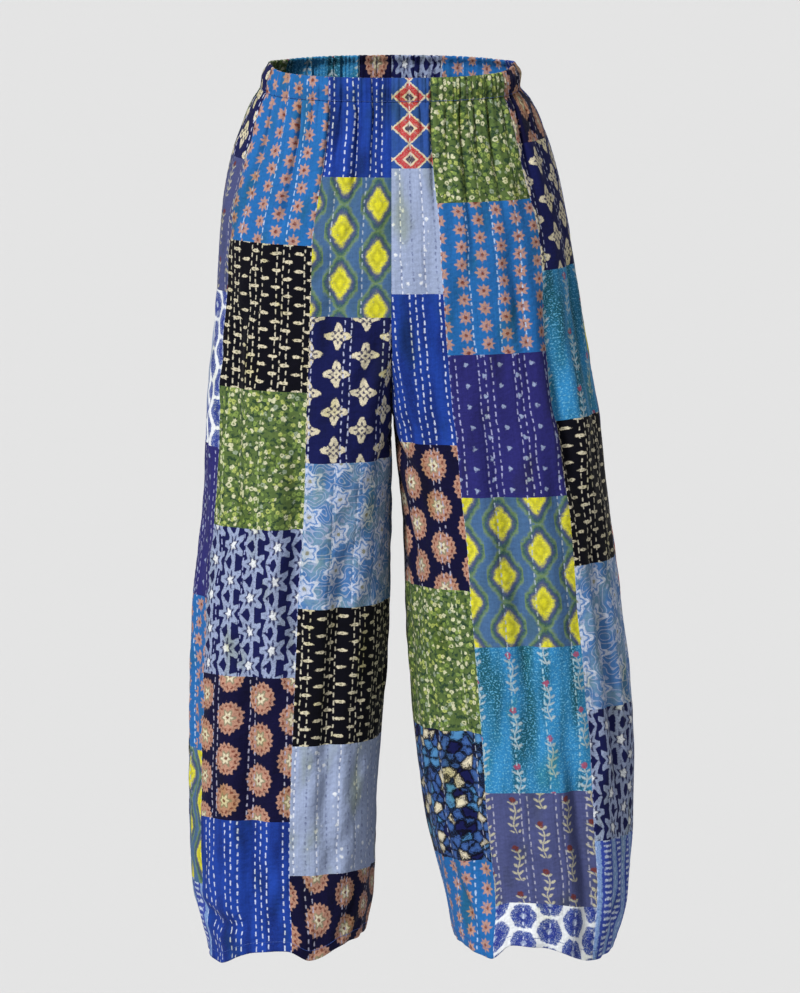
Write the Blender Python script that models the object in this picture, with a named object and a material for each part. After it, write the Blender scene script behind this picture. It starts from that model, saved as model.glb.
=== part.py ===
"""Palazzo pants, filled out as worn: four leg panels and an elastic waistband.

Metres, +Z up. The front faces -Y and the wearer's left leg is at +X.
The origin is at the centre of the waist, halfway up the waistband.
Heights are given as drops below the rim of the waistband.
"""

import math
from collections import namedtuple

import bmesh
import bpy
from mathutils import Vector

# ---------------------------------------------------------------- driving dimensions

BAND_HEIGHT = 0.026      # the waistband, from the rim to its stitching
BAND_WALL = 0.0034       # elastic between two layers of cloth
RIM_Z = BAND_HEIGHT / 2  # the rim above the origin
CLOTH_WALL = 0.002       # the leg cloth as a rigid wall
SEAM_GAP = 0.0003        # clear space between two pieces at a seam

FORK_DROP = 0.3645       # where the four inner seams meet
INSEAM_DEPTH = 0.012     # the inseam lies a little behind the middle
SIDE_DEPTH = 0.008       # and so does the side seam
HEM_DROP = 0.968         # the middle of the hem line
HEM_SETTLE = 0.10        # the hem's waves fade out over this height

TORSO_POWER = 2.35       # how square a section is towards the side seam
THIGH_POWER = 2.5        # and towards the inner seam

COLUMNS = 16             # across a leg panel
PANEL_WIDTH = 0.36       # about how wide that is
QUARTER_STEPS = 40       # steps along each quarter of a section before it is divided evenly
TORSO_ROWS = 10          # from the waistband to the start of the back crotch curve
CROTCH_ROWS = 9          # from there to the row that ends at the fork
LEG_ROWS = 12            # from that row to the hem

# Rows run square to the crotch seam and turn level on their way to the side seam.
FORK_SIDE_DROP = 0.415   # where the row from the fork meets the side seam
LEVEL_DROP = 0.70        # rows are level again from here down
LEVEL_SHARE = 0.45       # and everywhere beyond this share of a panel

SHARP_ANGLE = math.radians(50)

# ---------------------------------------------------------------- section tables

Girth = namedtuple("Girth", "drop front front_peak front_corner back back_peak back_corner")

# front and back: how far the cloth reaches. A peak is where along the section it does so, as
# a share of the way from the inner edge to the side seam. A corner is how much depth the
# cloth takes to turn from there to the inner edge.
GIRTHS = (
    Girth(0.000, -0.1045, 0.00, 0.000, 0.1050, 0.00, 0.000),
    Girth(0.011, -0.1095, 0.00, 0.000, 0.1100, 0.00, 0.000),
    Girth(0.025, -0.1075, 0.00, 0.000, 0.1095, 0.00, 0.000),
    Girth(0.060, -0.1130, 0.00, 0.000, 0.1185, 0.00, 0.000),
    Girth(0.100, -0.1180, 0.00, 0.000, 0.1310, 0.00, 0.000),
    Girth(0.150, -0.1225, 0.00, 0.000, 0.1450, 0.00, 0.000),
    Girth(0.200, -0.1245, 0.00, 0.000, 0.1520, 0.00, 0.000),
    Girth(0.260, -0.1235, 0.00, 0.000, 0.1505, 0.07, 0.024),
    Girth(0.310, -0.1210, 0.10, 0.022, 0.1450, 0.20, 0.050),
    Girth(0.365, -0.1190, 0.28, 0.056, 0.1375, 0.34, 0.076),
    Girth(0.420, -0.1185, 0.40, 0.086, 0.1300, 0.43, 0.096),
    Girth(0.500, -0.1180, 0.48, 0.120, 0.1240, 0.49, 0.110),
    Girth(0.600, -0.1165, 0.50, 0.130, 0.1200, 0.50, 0.130),
    Girth(0.700, -0.1145, 0.50, 0.130, 0.1170, 0.50, 0.130),
    Girth(0.800, -0.1120, 0.50, 0.130, 0.1130, 0.50, 0.130),
    Girth(0.900, -0.1085, 0.50, 0.130, 0.1090, 0.50, 0.130),
    Girth(0.985, -0.1040, 0.50, 0.130, 0.1040, 0.50, 0.130),
)

Edge = namedtuple("Edge", "drop outer inner")

# the outline from the front: the left leg swings out further than the right
LEFT_EDGES = (
    Edge(0.000, 0.1365, 0.0000),
    Edge(0.011, 0.1430, 0.0000),
    Edge(0.024, 0.1415, 0.0000),
    Edge(0.040, 0.1540, 0.0000),
    Edge(0.060, 0.1640, 0.0000),
    Edge(0.100, 0.1780, 0.0000),
    Edge(0.150, 0.1895, 0.0000),
    Edge(0.200, 0.1980, 0.0000),
    Edge(0.270, 0.2080, 0.0000),
    Edge(0.365, 0.2250, 0.0000),
    Edge(0.390, 0.2290, 0.0040),
    Edge(0.450, 0.2350, 0.0080),
    Edge(0.500, 0.2410, 0.0125),
    Edge(0.600, 0.2535, 0.0160),
    Edge(0.700, 0.2645, 0.0220),
    Edge(0.760, 0.2670, 0.0280),
    Edge(0.830, 0.2655, 0.0385),
    Edge(0.890, 0.2625, 0.0535),
    Edge(0.920, 0.2595, 0.0600),
    Edge(0.950, 0.2520, 0.0655),
    Edge(0.985, 0.2430, 0.0730),
)
RIGHT_EDGES = (
    Edge(0.000, 0.1355, 0.0000),
    Edge(0.012, 0.1425, 0.0000),
    Edge(0.024, 0.1440, 0.0000),
    Edge(0.040, 0.1535, 0.0000),
    Edge(0.060, 0.1625, 0.0000),
    Edge(0.100, 0.1765, 0.0000),
    Edge(0.150, 0.1855, 0.0000),
    Edge(0.200, 0.1895, 0.0000),
    Edge(0.270, 0.1930, 0.0000),
    Edge(0.365, 0.2020, 0.0000),
    Edge(0.390, 0.2035, 0.0006),
    Edge(0.450, 0.2055, 0.0008),
    Edge(0.500, 0.2090, 0.0010),
    Edge(0.600, 0.2195, 0.0025),
    Edge(0.700, 0.2220, 0.0085),
    Edge(0.760, 0.2220, 0.0135),
    Edge(0.830, 0.2220, 0.0175),
    Edge(0.890, 0.2205, 0.0195),
    Edge(0.915, 0.2180, 0.0205),
    Edge(0.940, 0.2110, 0.0245),
    Edge(0.985, 0.2020, 0.0330),
)
EDGES = {"left": LEFT_EDGES, "right": RIGHT_EDGES}
SIDE_SIGN = {"left": 1.0, "right": -1.0}

# the drop at which each crotch seam leaves the vertical, and how square its curve is
Crotch = namedtuple("Crotch", "start power")
CROTCHES = {"front": Crotch(0.262, 2.2), "back": Crotch(0.205, 1.9)}

# one pleat of the gathers, on every odd column of a panel: its depth and where it runs out
Pleat = namedtuple("Pleat", "depth end")
PLEATS = {
    "front": (
        Pleat(0.0032, 0.14), Pleat(0.0050, 0.20), Pleat(0.0034, 0.13), Pleat(0.0056, 0.23),
        Pleat(0.0036, 0.15), Pleat(0.0048, 0.19), Pleat(0.0030, 0.12), Pleat(0.0034, 0.14),
    ),
    "back": (
        Pleat(0.0042, 0.17), Pleat(0.0030, 0.12), Pleat(0.0052, 0.20), Pleat(0.0036, 0.15),
        Pleat(0.0050, 0.22), Pleat(0.0030, 0.13), Pleat(0.0044, 0.18), Pleat(0.0030, 0.13),
    ),
}

PLEAT_START = 0.45       # the share of its depth that a pleat has at the waistband
PLEAT_RISE = 0.025       # and over how much height it takes on the rest

# the long soft folds of a leg: where across the panel, how wide and deep, and its run
Fold = namedtuple("Fold", "share width depth top bottom")
FOLDS = {
    ("left", "front"): (
        Fold(0.34, 0.032, 0.0060, 0.30, 0.62),
        Fold(0.62, 0.036, 0.0055, 0.44, 0.96),
        Fold(0.18, 0.030, 0.0045, 0.66, 0.98),
    ),
    ("right", "front"): (
        Fold(0.42, 0.034, 0.0055, 0.34, 0.74),
        Fold(0.72, 0.034, 0.0050, 0.22, 0.56),
        Fold(0.24, 0.032, 0.0050, 0.68, 0.99),
    ),
    ("left", "back"): (
        Fold(0.30, 0.036, 0.0070, 0.36, 0.78),
        Fold(0.66, 0.036, 0.0060, 0.50, 0.98),
    ),
    ("right", "back"): (
        Fold(0.36, 0.036, 0.0065, 0.34, 0.70),
        Fold(0.62, 0.034, 0.0065, 0.56, 0.99),
    ),
}

FOLD_TAPER = 0.7         # below 1, a fold keeps its depth for most of its run

# the hem line: how far below the middle it hangs, across the panel
Hang = namedtuple("Hang", "share below")
HEM_LINES = {
    ("left", "front"): (
        Hang(0.00, -0.004), Hang(0.12, -0.005), Hang(0.26, 0.001), Hang(0.35, 0.008),
        Hang(0.43, -0.008), Hang(0.53, -0.006), Hang(0.72, 0.012), Hang(0.82, 0.010),
        Hang(1.00, 0.004),
    ),
    ("right", "front"): (
        Hang(0.00, -0.011), Hang(0.12, -0.012), Hang(0.29, -0.006), Hang(0.42, 0.009),
        Hang(0.50, -0.002), Hang(0.62, 0.001), Hang(0.79, 0.017), Hang(0.90, 0.010),
        Hang(1.00, 0.010),
    ),
    ("left", "back"): (
        Hang(0.00, -0.004), Hang(0.30, 0.003), Hang(0.62, -0.003), Hang(0.84, 0.007),
        Hang(1.00, 0.004),
    ),
    ("right", "back"): (
        Hang(0.00, -0.011), Hang(0.22, -0.008), Hang(0.44, 0.002), Hang(0.70, -0.002),
        Hang(1.00, 0.010),
    ),
}

# the waistband's cross-section: drop below the rim and distance in from its outer face
Lip = namedtuple("Lip", "drop inset")
BAND_PROFILE = (
    Lip(BAND_HEIGHT, 0.0),
    Lip(0.017, 0.0),
    Lip(0.008, 0.0),
    Lip(0.0015, 0.0003),
    Lip(0.0, BAND_WALL / 2),
    Lip(0.0015, BAND_WALL - 0.0003),
    Lip(0.012, BAND_WALL),
    Lip(BAND_HEIGHT, BAND_WALL),
)
BAND_PINCH = 0.0014      # every other column of its outer face is drawn in by this much

# ---------------------------------------------------------------- reading the tables


def along(table, column, at):
    """A smooth value between the rows of a table, which never overshoots them."""
    places = [row[0] for row in table]
    values = [getattr(row, column) for row in table]
    if at <= places[0]:
        return values[0]
    if at >= places[-1]:
        return values[-1]
    k = max(i for i, place in enumerate(places) if place <= at)
    slopes = [(values[i + 1] - values[i]) / (places[i + 1] - places[i])
              for i in range(len(places) - 1)]

    def bend(i):
        if i == 0 or i == len(slopes) or slopes[i - 1] * slopes[i] <= 0:
            return 0.0
        return 2 * slopes[i - 1] * slopes[i] / (slopes[i - 1] + slopes[i])

    step = places[k + 1] - places[k]
    s = (at - places[k]) / step
    return ((2 * s ** 3 - 3 * s ** 2 + 1) * values[k]
            + (s ** 3 - 2 * s ** 2 + s) * step * bend(k)
            + (3 * s ** 2 - 2 * s ** 3) * values[k + 1]
            + (s ** 3 - s ** 2) * step * bend(k + 1))


def ease(value):
    """0 below 0, 1 above 1 and a soft step between."""
    value = min(1.0, max(0.0, value))
    return value * value * (3 - 2 * value)


# ---------------------------------------------------------------- the form


def inner_edge_depth(face, drop):
    """The depth of the centre seam, of the crotch curve or of the inseam."""
    crest = along(GIRTHS, face, drop)
    crotch = CROTCHES[face]
    if drop <= crotch.start:
        return crest
    if drop >= FORK_DROP:
        return INSEAM_DEPTH
    reach = (drop - crotch.start) / (FORK_DROP - crotch.start)
    remains = (1 - reach ** crotch.power) ** (1 / crotch.power)
    return INSEAM_DEPTH + (crest - INSEAM_DEPTH) * remains


def section(leg, face, drop, nearest):
    """Half a level section of one leg, as points from the side seam to the inner edge."""
    outer = along(EDGES[leg], "outer", drop)
    inner = max(along(EDGES[leg], "inner", drop), nearest)
    peak = inner + along(GIRTHS, face + "_peak", drop) * (outer - inner)
    crest = along(GIRTHS, face, drop)
    edge = inner_edge_depth(face, drop)
    inward = 1 if edge > crest else -1
    corner = crest + inward * min(abs(edge - crest), along(GIRTHS, face + "_corner", drop))
    points = []
    for k in range(QUARTER_STEPS + 1):
        turn = math.pi / 2 * k / QUARTER_STEPS
        x = peak + (outer - peak) * math.cos(turn) ** (2 / TORSO_POWER)
        y = SIDE_DEPTH + (crest - SIDE_DEPTH) * math.sin(turn) ** (2 / TORSO_POWER)
        points.append(Vector((x, y)))
    for k in range(1, QUARTER_STEPS + 1):
        turn = math.pi / 2 * k / QUARTER_STEPS
        x = peak - (peak - inner) * math.sin(turn) ** (2 / THIGH_POWER)
        y = corner + (crest - corner) * math.cos(turn) ** (2 / THIGH_POWER)
        points.append(Vector((x, y)))
    points.append(Vector((inner, edge)))
    return points


def length_of(points):
    return sum((b - a).length for a, b in zip(points, points[1:]))


def walk(points, distance):
    """The point at a distance along a polyline."""
    for a, b in zip(points, points[1:]):
        length = (b - a).length
        if distance <= length and length > 0:
            return a.lerp(b, distance / length)
        distance -= length
    return points[-1].copy()


def seam_drop(face, side_drop):
    """Where the row that meets the side seam at a drop leaves the inner seam."""
    start, power = CROTCHES[face]
    if side_drop <= start or side_drop >= LEVEL_DROP:
        return side_drop
    if side_drop >= FORK_SIDE_DROP:
        reach = (side_drop - FORK_SIDE_DROP) / (LEVEL_DROP - FORK_SIDE_DROP)
        return FORK_DROP + (LEVEL_DROP - FORK_DROP) * reach
    reach = (side_drop - start) / (FORK_SIDE_DROP - start)
    return start + (FORK_DROP - start) * math.sin(math.pi / 2 * reach) ** (2 / power)


def place(leg, face, side_drop, share):
    """A place on the smooth form: its drop and its point. The share runs from the inner seam."""
    seam = seam_drop(face, side_drop)
    level = 1 - (1 - min(1.0, share / LEVEL_SHARE)) ** 2
    drop = seam + (side_drop - seam) * level
    waves = ease((side_drop - HEM_DROP + HEM_SETTLE) / HEM_SETTLE)
    drop += waves * along(HEM_LINES[leg, face], "below", share)
    here = section(leg, face, drop, SEAM_GAP / 2)
    at_seam = section(leg, face, seam, SEAM_GAP / 2)
    inseam_gap = SEAM_GAP / 2 if seam >= FORK_DROP else 0.0
    width = length_of(here) * level + length_of(at_seam) * (1 - level) - inseam_gap
    flat = walk(here, SEAM_GAP / 2 + (1 - share) * (width - SEAM_GAP / 2))
    return drop, Vector((SIDE_SIGN[leg] * flat.x, flat.y, RIM_Z - drop))


def row_drops():
    """The drops of a panel's rows at the side seam, from the waistband to the hem."""
    stages = ((BAND_HEIGHT + SEAM_GAP, TORSO_ROWS), (CROTCHES["back"].start, CROTCH_ROWS),
              (FORK_SIDE_DROP, LEG_ROWS), (HEM_DROP, 0))
    drops = []
    for (top, count), (bottom, _) in zip(stages, stages[1:]):
        drops += [top + (bottom - top) * i / count for i in range(count)]
    return drops + [HEM_DROP]


def fold_depth(leg, face, column, drop):
    """How far pleats and folds draw the cloth in at a place on a panel."""
    depth = 0.0
    if column % 2:
        pleat = PLEATS[face][column // 2]
        rise = PLEAT_START + (1 - PLEAT_START) * ease((drop - BAND_HEIGHT) / PLEAT_RISE)
        depth += pleat.depth * rise * (1 - ease((drop - BAND_HEIGHT) / (pleat.end - BAND_HEIGHT)))
    for fold in FOLDS[leg, face]:
        across = (column / COLUMNS - fold.share) * PANEL_WIDTH / fold.width
        run = (drop - fold.top) / (fold.bottom - fold.top)
        if 0 < run < 1:
            depth += fold.depth * math.exp(-across ** 2) * math.sin(math.pi * run) ** FOLD_TAPER
    return depth


def panel_grid(leg, face):
    """The outer face of a leg panel: rows of (drop, point) from inner edge to side seam."""
    shares = [column / COLUMNS for column in range(COLUMNS + 1)]
    return [[place(leg, face, side_drop, share) for share in shares] for side_drop in row_drops()]


def ways_out(points, flip):
    """The outward direction at each point of a grid, from the faces around it."""
    last_row = len(points) - 1
    last_column = len(points[0]) - 1
    ways = [[Vector() for _ in row] for row in points]
    for i in range(last_row):
        for j in range(last_column):
            down = points[i + 1][j + 1] - points[i][j]
            up = points[i][j + 1] - points[i + 1][j]
            normal = down.cross(up) * flip
            for a, b in ((i, j), (i + 1, j), (i, j + 1), (i + 1, j + 1)):
                ways[a][b] += normal
    for row in ways:
        for way in row:
            way.normalize()
    return ways


def level_ends(points, ways):
    """Keep the panel's edges square to their seams."""
    last_column = len(points[0]) - 1
    for i, row in enumerate(ways):
        row[last_column].y = 0.0
        if RIM_Z - points[i][0].z >= FORK_DROP:
            row[0].y = 0.0
        if i in (0, len(ways) - 1):
            for way in row:
                way.z = 0.0
        for way in row:
            way.normalize()


# ---------------------------------------------------------------- solids


def cloth_material(name, colour):
    material = bpy.data.materials.new(name)
    material.use_nodes = True
    shader = material.node_tree.nodes["Principled BSDF"]
    shader.inputs["Base Color"].default_value = (*colour, 1.0)
    shader.inputs["Roughness"].default_value = 0.85
    shader.inputs["Metallic"].default_value = 0.0
    material.diffuse_color = (*colour, 1.0)
    return material


def finish_solid(name, shell, material, collection):
    """Turn a closed bmesh into the named object."""
    bmesh.ops.recalc_face_normals(shell, faces=shell.faces)
    mesh = bpy.data.meshes.new(name)
    shell.to_mesh(mesh)
    shell.free()
    mesh.shade_smooth()
    mesh.set_sharp_from_angle(angle=SHARP_ANGLE)
    mesh.materials.append(material)
    collection.objects.link(bpy.data.objects.new(name, mesh))


def add_wall(name, outer, inner, material, collection):
    """A closed wall of cloth between two like grids of points."""
    shell = bmesh.new()
    outside = [[shell.verts.new(point) for point in row] for row in outer]
    inside = [[shell.verts.new(point) for point in row] for row in inner]
    last_row = len(outer) - 1
    last_column = len(outer[0]) - 1
    for i in range(last_row):
        for j in range(last_column):
            for face in (outside, inside):
                shell.faces.new((face[i][j], face[i + 1][j], face[i + 1][j + 1], face[i][j + 1]))
    for i in (0, last_row):
        for j in range(last_column):
            shell.faces.new((outside[i][j], outside[i][j + 1], inside[i][j + 1], inside[i][j]))
    for j in (0, last_column):
        for i in range(last_row):
            shell.faces.new((outside[i][j], outside[i + 1][j], inside[i + 1][j], inside[i][j]))
    finish_solid(name, shell, material, collection)


def add_leg_panel(leg, face, material, collection):
    grid = panel_grid(leg, face)
    smooth = [[point for drop, point in row] for row in grid]
    ways = ways_out(smooth, SIDE_SIGN[leg] * (1 if face == "front" else -1))
    level_ends(smooth, ways)
    outer = []
    inner = []
    for row, row_ways in zip(grid, ways):
        skins = []
        linings = []
        for column, ((drop, point), way) in enumerate(zip(row, row_ways)):
            free = 0 < column < COLUMNS
            skin = point - way * (fold_depth(leg, face, column, drop) if free else 0.0)
            lining = skin - way * CLOTH_WALL
            lining.x = SIDE_SIGN[leg] * max(SEAM_GAP / 2, SIDE_SIGN[leg] * lining.x)
            skins.append(skin)
            linings.append(lining)
        outer.append(skins)
        inner.append(linings)
    add_wall(face + "_" + leg, outer, inner, material, collection)


def band_ring(drop):
    """One level of the waistband's outer face, right round from the centre front."""
    quarters = (("left", "front", False), ("left", "back", True),
                ("right", "back", False), ("right", "front", True))
    ring = []
    for leg, face, outwards_last in quarters:
        points = section(leg, face, drop, 0.0)
        width = length_of(points)
        for column in range(COLUMNS):
            share = column / COLUMNS
            flat = walk(points, width * (share if outwards_last else 1 - share))
            ring.append(Vector((SIDE_SIGN[leg] * flat.x, flat.y, RIM_Z - drop)))
    return ring


def add_waistband(material, collection):
    """A ring whose every cross-section is the closed loop of BAND_PROFILE."""
    loops = []
    for lip in BAND_PROFILE:
        ring = band_ring(lip.drop)
        loop = []
        for j, point in enumerate(ring):
            tangent = ring[(j + 1) % len(ring)] - ring[j - 1]
            way_in = Vector((-tangent.y, tangent.x, 0.0)).normalized()
            pinched = j % 2 and lip.inset < BAND_WALL / 2
            loop.append(point + way_in * (lip.inset + (BAND_PINCH if pinched else 0.0)))
        loops.append(loop)
    ring = bmesh.new()
    verts = [[ring.verts.new(point) for point in loop] for loop in loops]
    around = len(loops[0])
    for loop, following in zip(verts, verts[1:] + verts[:1]):
        for j in range(around):
            k = (j + 1) % around
            ring.faces.new((loop[j], loop[k], following[k], following[j]))
    finish_solid("waistband", ring, material, collection)


# ---------------------------------------------------------------- the garment


def clear_scene():
    for thing in list(bpy.data.objects):
        bpy.data.objects.remove(thing, do_unlink=True)


def build():
    clear_scene()
    collection = bpy.data.collections.new("palazzo_pants")
    bpy.context.scene.collection.children.link(collection)
    for face, leg, colour in (
        ("front", "left", (0.075, 0.155, 0.310)),
        ("front", "right", (0.060, 0.095, 0.270)),
        ("back", "left", (0.065, 0.125, 0.290)),
        ("back", "right", (0.070, 0.110, 0.250)),
    ):
        material = cloth_material("printed_cotton_" + face + "_" + leg, colour)
        add_leg_panel(leg, face, material, collection)
    add_waistband(cloth_material("gathered_printed_cotton", (0.035, 0.130, 0.380)), collection)


build()
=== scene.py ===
# %% [markdown]
# # Palazzo pants in patchwork-printed cotton
#
# Wide-leg pull-on trousers, filled out as if worn. Four leg panels are sewn together at the
# centre seams, the inseams and the side seams, and the top edge is turned over a loop of
# elastic, which gathers it.
#
# The notebook works as a maker would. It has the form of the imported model, from the same
# tables. It lays the cloth out flat with its print, cuts the mesh along the edges of the
# printed patches, lifts it to the form with its pleats and folds, and adds the stitches.
# Lengths are in metres unless a name or a comment says millimetres. Heights are given as
# drops below the rim of the waist.

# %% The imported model
import math
from collections import namedtuple

import bmesh
import bpy
import numpy as np
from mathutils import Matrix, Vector


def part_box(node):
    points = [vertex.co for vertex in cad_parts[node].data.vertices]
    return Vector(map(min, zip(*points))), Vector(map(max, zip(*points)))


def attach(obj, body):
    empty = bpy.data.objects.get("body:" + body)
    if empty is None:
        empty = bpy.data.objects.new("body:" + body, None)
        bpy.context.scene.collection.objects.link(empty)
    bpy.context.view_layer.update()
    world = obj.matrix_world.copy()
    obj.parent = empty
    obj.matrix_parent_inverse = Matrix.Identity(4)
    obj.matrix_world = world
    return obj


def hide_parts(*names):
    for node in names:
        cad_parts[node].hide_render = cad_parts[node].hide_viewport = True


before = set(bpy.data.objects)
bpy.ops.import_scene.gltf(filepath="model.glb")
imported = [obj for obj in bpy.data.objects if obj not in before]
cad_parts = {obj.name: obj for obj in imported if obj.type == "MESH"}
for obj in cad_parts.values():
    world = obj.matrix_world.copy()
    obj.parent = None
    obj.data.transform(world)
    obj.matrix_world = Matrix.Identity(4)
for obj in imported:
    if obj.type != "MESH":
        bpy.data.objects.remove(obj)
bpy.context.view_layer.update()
MM = 0.001
for node in sorted(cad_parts):
    low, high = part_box(node)
    print(node, "spans", [round(side / MM) for side in high - low], "mm")

# %% [markdown]
# ## Camera
#
# The garment is seen straight from the front by a lens far away, a little above its middle.
# That small height is what opens the waist to a narrow ellipse, with the far rim above the
# near one. From so far away near and far points keep the same scale, as in the photograph,
# where both rims of the waist and both sides of the hems line up with one tilt.

# %% Camera
CAMERA_DISTANCE = 36.0
CAMERA_ELEVATION = math.radians(7.8)
CAMERA_TARGET = Vector((0.00935, 0.0, -0.4635))
CAMERA_REACH = 600.0   # nothing further off is drawn
SENSOR_HEIGHT = 36.0   # millimetres, as Blender gives a sensor
VIEW_HEIGHT = 1.0923   # how much of the garment's plane the picture takes in

camera_data = bpy.data.cameras.new("studio_camera")
camera_data.sensor_fit = "VERTICAL"
camera_data.sensor_height = SENSOR_HEIGHT
camera_data.lens = SENSOR_HEIGHT * CAMERA_DISTANCE / VIEW_HEIGHT
camera_data.clip_end = CAMERA_REACH
camera = bpy.data.objects.new("studio_camera", camera_data)
bpy.context.scene.collection.objects.link(camera)
camera_side = Vector((0.0, -math.cos(CAMERA_ELEVATION), math.sin(CAMERA_ELEVATION)))
camera.location = CAMERA_TARGET + camera_side * CAMERA_DISTANCE
camera.rotation_euler = (-camera_side).to_track_quat("-Z", "Y").to_euler()
bpy.context.scene.camera = camera
print("lens", round(camera_data.lens), "mm")

# %% [markdown]
# ## Sections of the form
#
# Seen from above, a pair of trousers is a rounded oval at the waist and hips that parts into
# two rounded tubes at the fork. Half of one leg's section, from the side seam to the inner
# seam, is described by how far it reaches to the side, to the middle and to the front or
# back. Two quarters of a superellipse, which is an oval with fuller corners, join those
# points. Tables of such sections are easy to read and to correct, and they are the same ones
# that the solid pieces have, so the cloth lies on their form.

# %% Sizes of the form
BAND_HEIGHT = 0.026      # the casing of the elastic, from the rim to its stitching
RIM_Z = BAND_HEIGHT / 2  # the rim above the origin
FORK_DROP = 0.3645       # where the four inner seams meet
INSEAM_DEPTH = 0.012     # the inseam lies a little behind the middle
SIDE_DEPTH = 0.008       # and so does the side seam
HEM_DROP = 0.968         # the middle of the hem line
HEM_SETTLE = 0.10        # the hem's waves fade out over this height
TORSO_POWER = 2.35       # how square a section is towards the side seam
THIGH_POWER = 2.5        # and towards the inner seam
FORK_SIDE_DROP = 0.415   # where the row of threads from the fork meets the side seam
LEVEL_DROP = 0.70        # rows are level again from here down
LEVEL_SHARE = 0.45       # and everywhere beyond this share of a panel

Girth = namedtuple("Girth", "drop front front_peak front_corner back back_peak back_corner")
GIRTHS = (
    Girth(0.000, -0.1045, 0.00, 0.000, 0.1050, 0.00, 0.000),
    Girth(0.011, -0.1095, 0.00, 0.000, 0.1100, 0.00, 0.000),
    Girth(0.025, -0.1075, 0.00, 0.000, 0.1095, 0.00, 0.000),
    Girth(0.060, -0.1130, 0.00, 0.000, 0.1185, 0.00, 0.000),
    Girth(0.100, -0.1180, 0.00, 0.000, 0.1310, 0.00, 0.000),
    Girth(0.150, -0.1225, 0.00, 0.000, 0.1450, 0.00, 0.000),
    Girth(0.200, -0.1245, 0.00, 0.000, 0.1520, 0.00, 0.000),
    Girth(0.260, -0.1235, 0.00, 0.000, 0.1505, 0.07, 0.024),
    Girth(0.310, -0.1210, 0.10, 0.022, 0.1450, 0.20, 0.050),
    Girth(0.365, -0.1190, 0.28, 0.056, 0.1375, 0.34, 0.076),
    Girth(0.420, -0.1185, 0.40, 0.086, 0.1300, 0.43, 0.096),
    Girth(0.500, -0.1180, 0.48, 0.120, 0.1240, 0.49, 0.110),
    Girth(0.600, -0.1165, 0.50, 0.130, 0.1200, 0.50, 0.130),
    Girth(0.700, -0.1145, 0.50, 0.130, 0.1170, 0.50, 0.130),
    Girth(0.800, -0.1120, 0.50, 0.130, 0.1130, 0.50, 0.130),
    Girth(0.900, -0.1085, 0.50, 0.130, 0.1090, 0.50, 0.130),
    Girth(0.985, -0.1040, 0.50, 0.130, 0.1040, 0.50, 0.130),
)

Edge = namedtuple("Edge", "drop outer inner")
EDGES = {
    "left": (
        Edge(0.000, 0.1365, 0.0000), Edge(0.011, 0.1430, 0.0000), Edge(0.024, 0.1415, 0.0000),
        Edge(0.040, 0.1540, 0.0000), Edge(0.060, 0.1640, 0.0000), Edge(0.100, 0.1780, 0.0000),
        Edge(0.150, 0.1895, 0.0000), Edge(0.200, 0.1980, 0.0000), Edge(0.270, 0.2080, 0.0000),
        Edge(0.365, 0.2250, 0.0000), Edge(0.390, 0.2290, 0.0040), Edge(0.450, 0.2350, 0.0080),
        Edge(0.500, 0.2410, 0.0125), Edge(0.600, 0.2535, 0.0160), Edge(0.700, 0.2645, 0.0220),
        Edge(0.760, 0.2670, 0.0280), Edge(0.830, 0.2655, 0.0385), Edge(0.890, 0.2625, 0.0535),
        Edge(0.920, 0.2595, 0.0600), Edge(0.950, 0.2520, 0.0655), Edge(0.985, 0.2430, 0.0730),
    ),
    "right": (
        Edge(0.000, 0.1355, 0.0000), Edge(0.012, 0.1425, 0.0000), Edge(0.024, 0.1440, 0.0000),
        Edge(0.040, 0.1535, 0.0000), Edge(0.060, 0.1625, 0.0000), Edge(0.100, 0.1765, 0.0000),
        Edge(0.150, 0.1855, 0.0000), Edge(0.200, 0.1895, 0.0000), Edge(0.270, 0.1930, 0.0000),
        Edge(0.365, 0.2020, 0.0000), Edge(0.390, 0.2035, 0.0006), Edge(0.450, 0.2055, 0.0008),
        Edge(0.500, 0.2090, 0.0010), Edge(0.600, 0.2195, 0.0025), Edge(0.700, 0.2220, 0.0085),
        Edge(0.760, 0.2220, 0.0135), Edge(0.830, 0.2220, 0.0175), Edge(0.890, 0.2205, 0.0195),
        Edge(0.915, 0.2180, 0.0205), Edge(0.940, 0.2110, 0.0245), Edge(0.985, 0.2020, 0.0330),
    ),
}
SIDE_SIGN = {"left": 1.0, "right": -1.0}   # the wearer's left is at +X
PANELS = (("left", "front"), ("left", "back"), ("right", "back"), ("right", "front"))

Crotch = namedtuple("Crotch", "start power")
CROTCHES = {"front": Crotch(0.262, 2.2), "back": Crotch(0.205, 1.9)}

Hang = namedtuple("Hang", "share below")   # the hem's waves, across a panel
HEM_LINES = {
    ("left", "front"): (
        Hang(0.00, -0.004), Hang(0.12, -0.005), Hang(0.26, 0.001), Hang(0.35, 0.008),
        Hang(0.43, -0.008), Hang(0.53, -0.006), Hang(0.72, 0.012), Hang(0.82, 0.010),
        Hang(1.00, 0.004),
    ),
    ("right", "front"): (
        Hang(0.00, -0.011), Hang(0.12, -0.012), Hang(0.29, -0.006), Hang(0.42, 0.009),
        Hang(0.50, -0.002), Hang(0.62, 0.001), Hang(0.79, 0.017), Hang(0.90, 0.010),
        Hang(1.00, 0.010),
    ),
    ("left", "back"): (
        Hang(0.00, -0.004), Hang(0.30, 0.003), Hang(0.62, -0.003), Hang(0.84, 0.007),
        Hang(1.00, 0.004),
    ),
    ("right", "back"): (
        Hang(0.00, -0.011), Hang(0.22, -0.008), Hang(0.44, 0.002), Hang(0.70, -0.002),
        Hang(1.00, 0.010),
    ),
}
print(len(GIRTHS), "girths and", sum(map(len, EDGES.values())), "edges")

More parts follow.
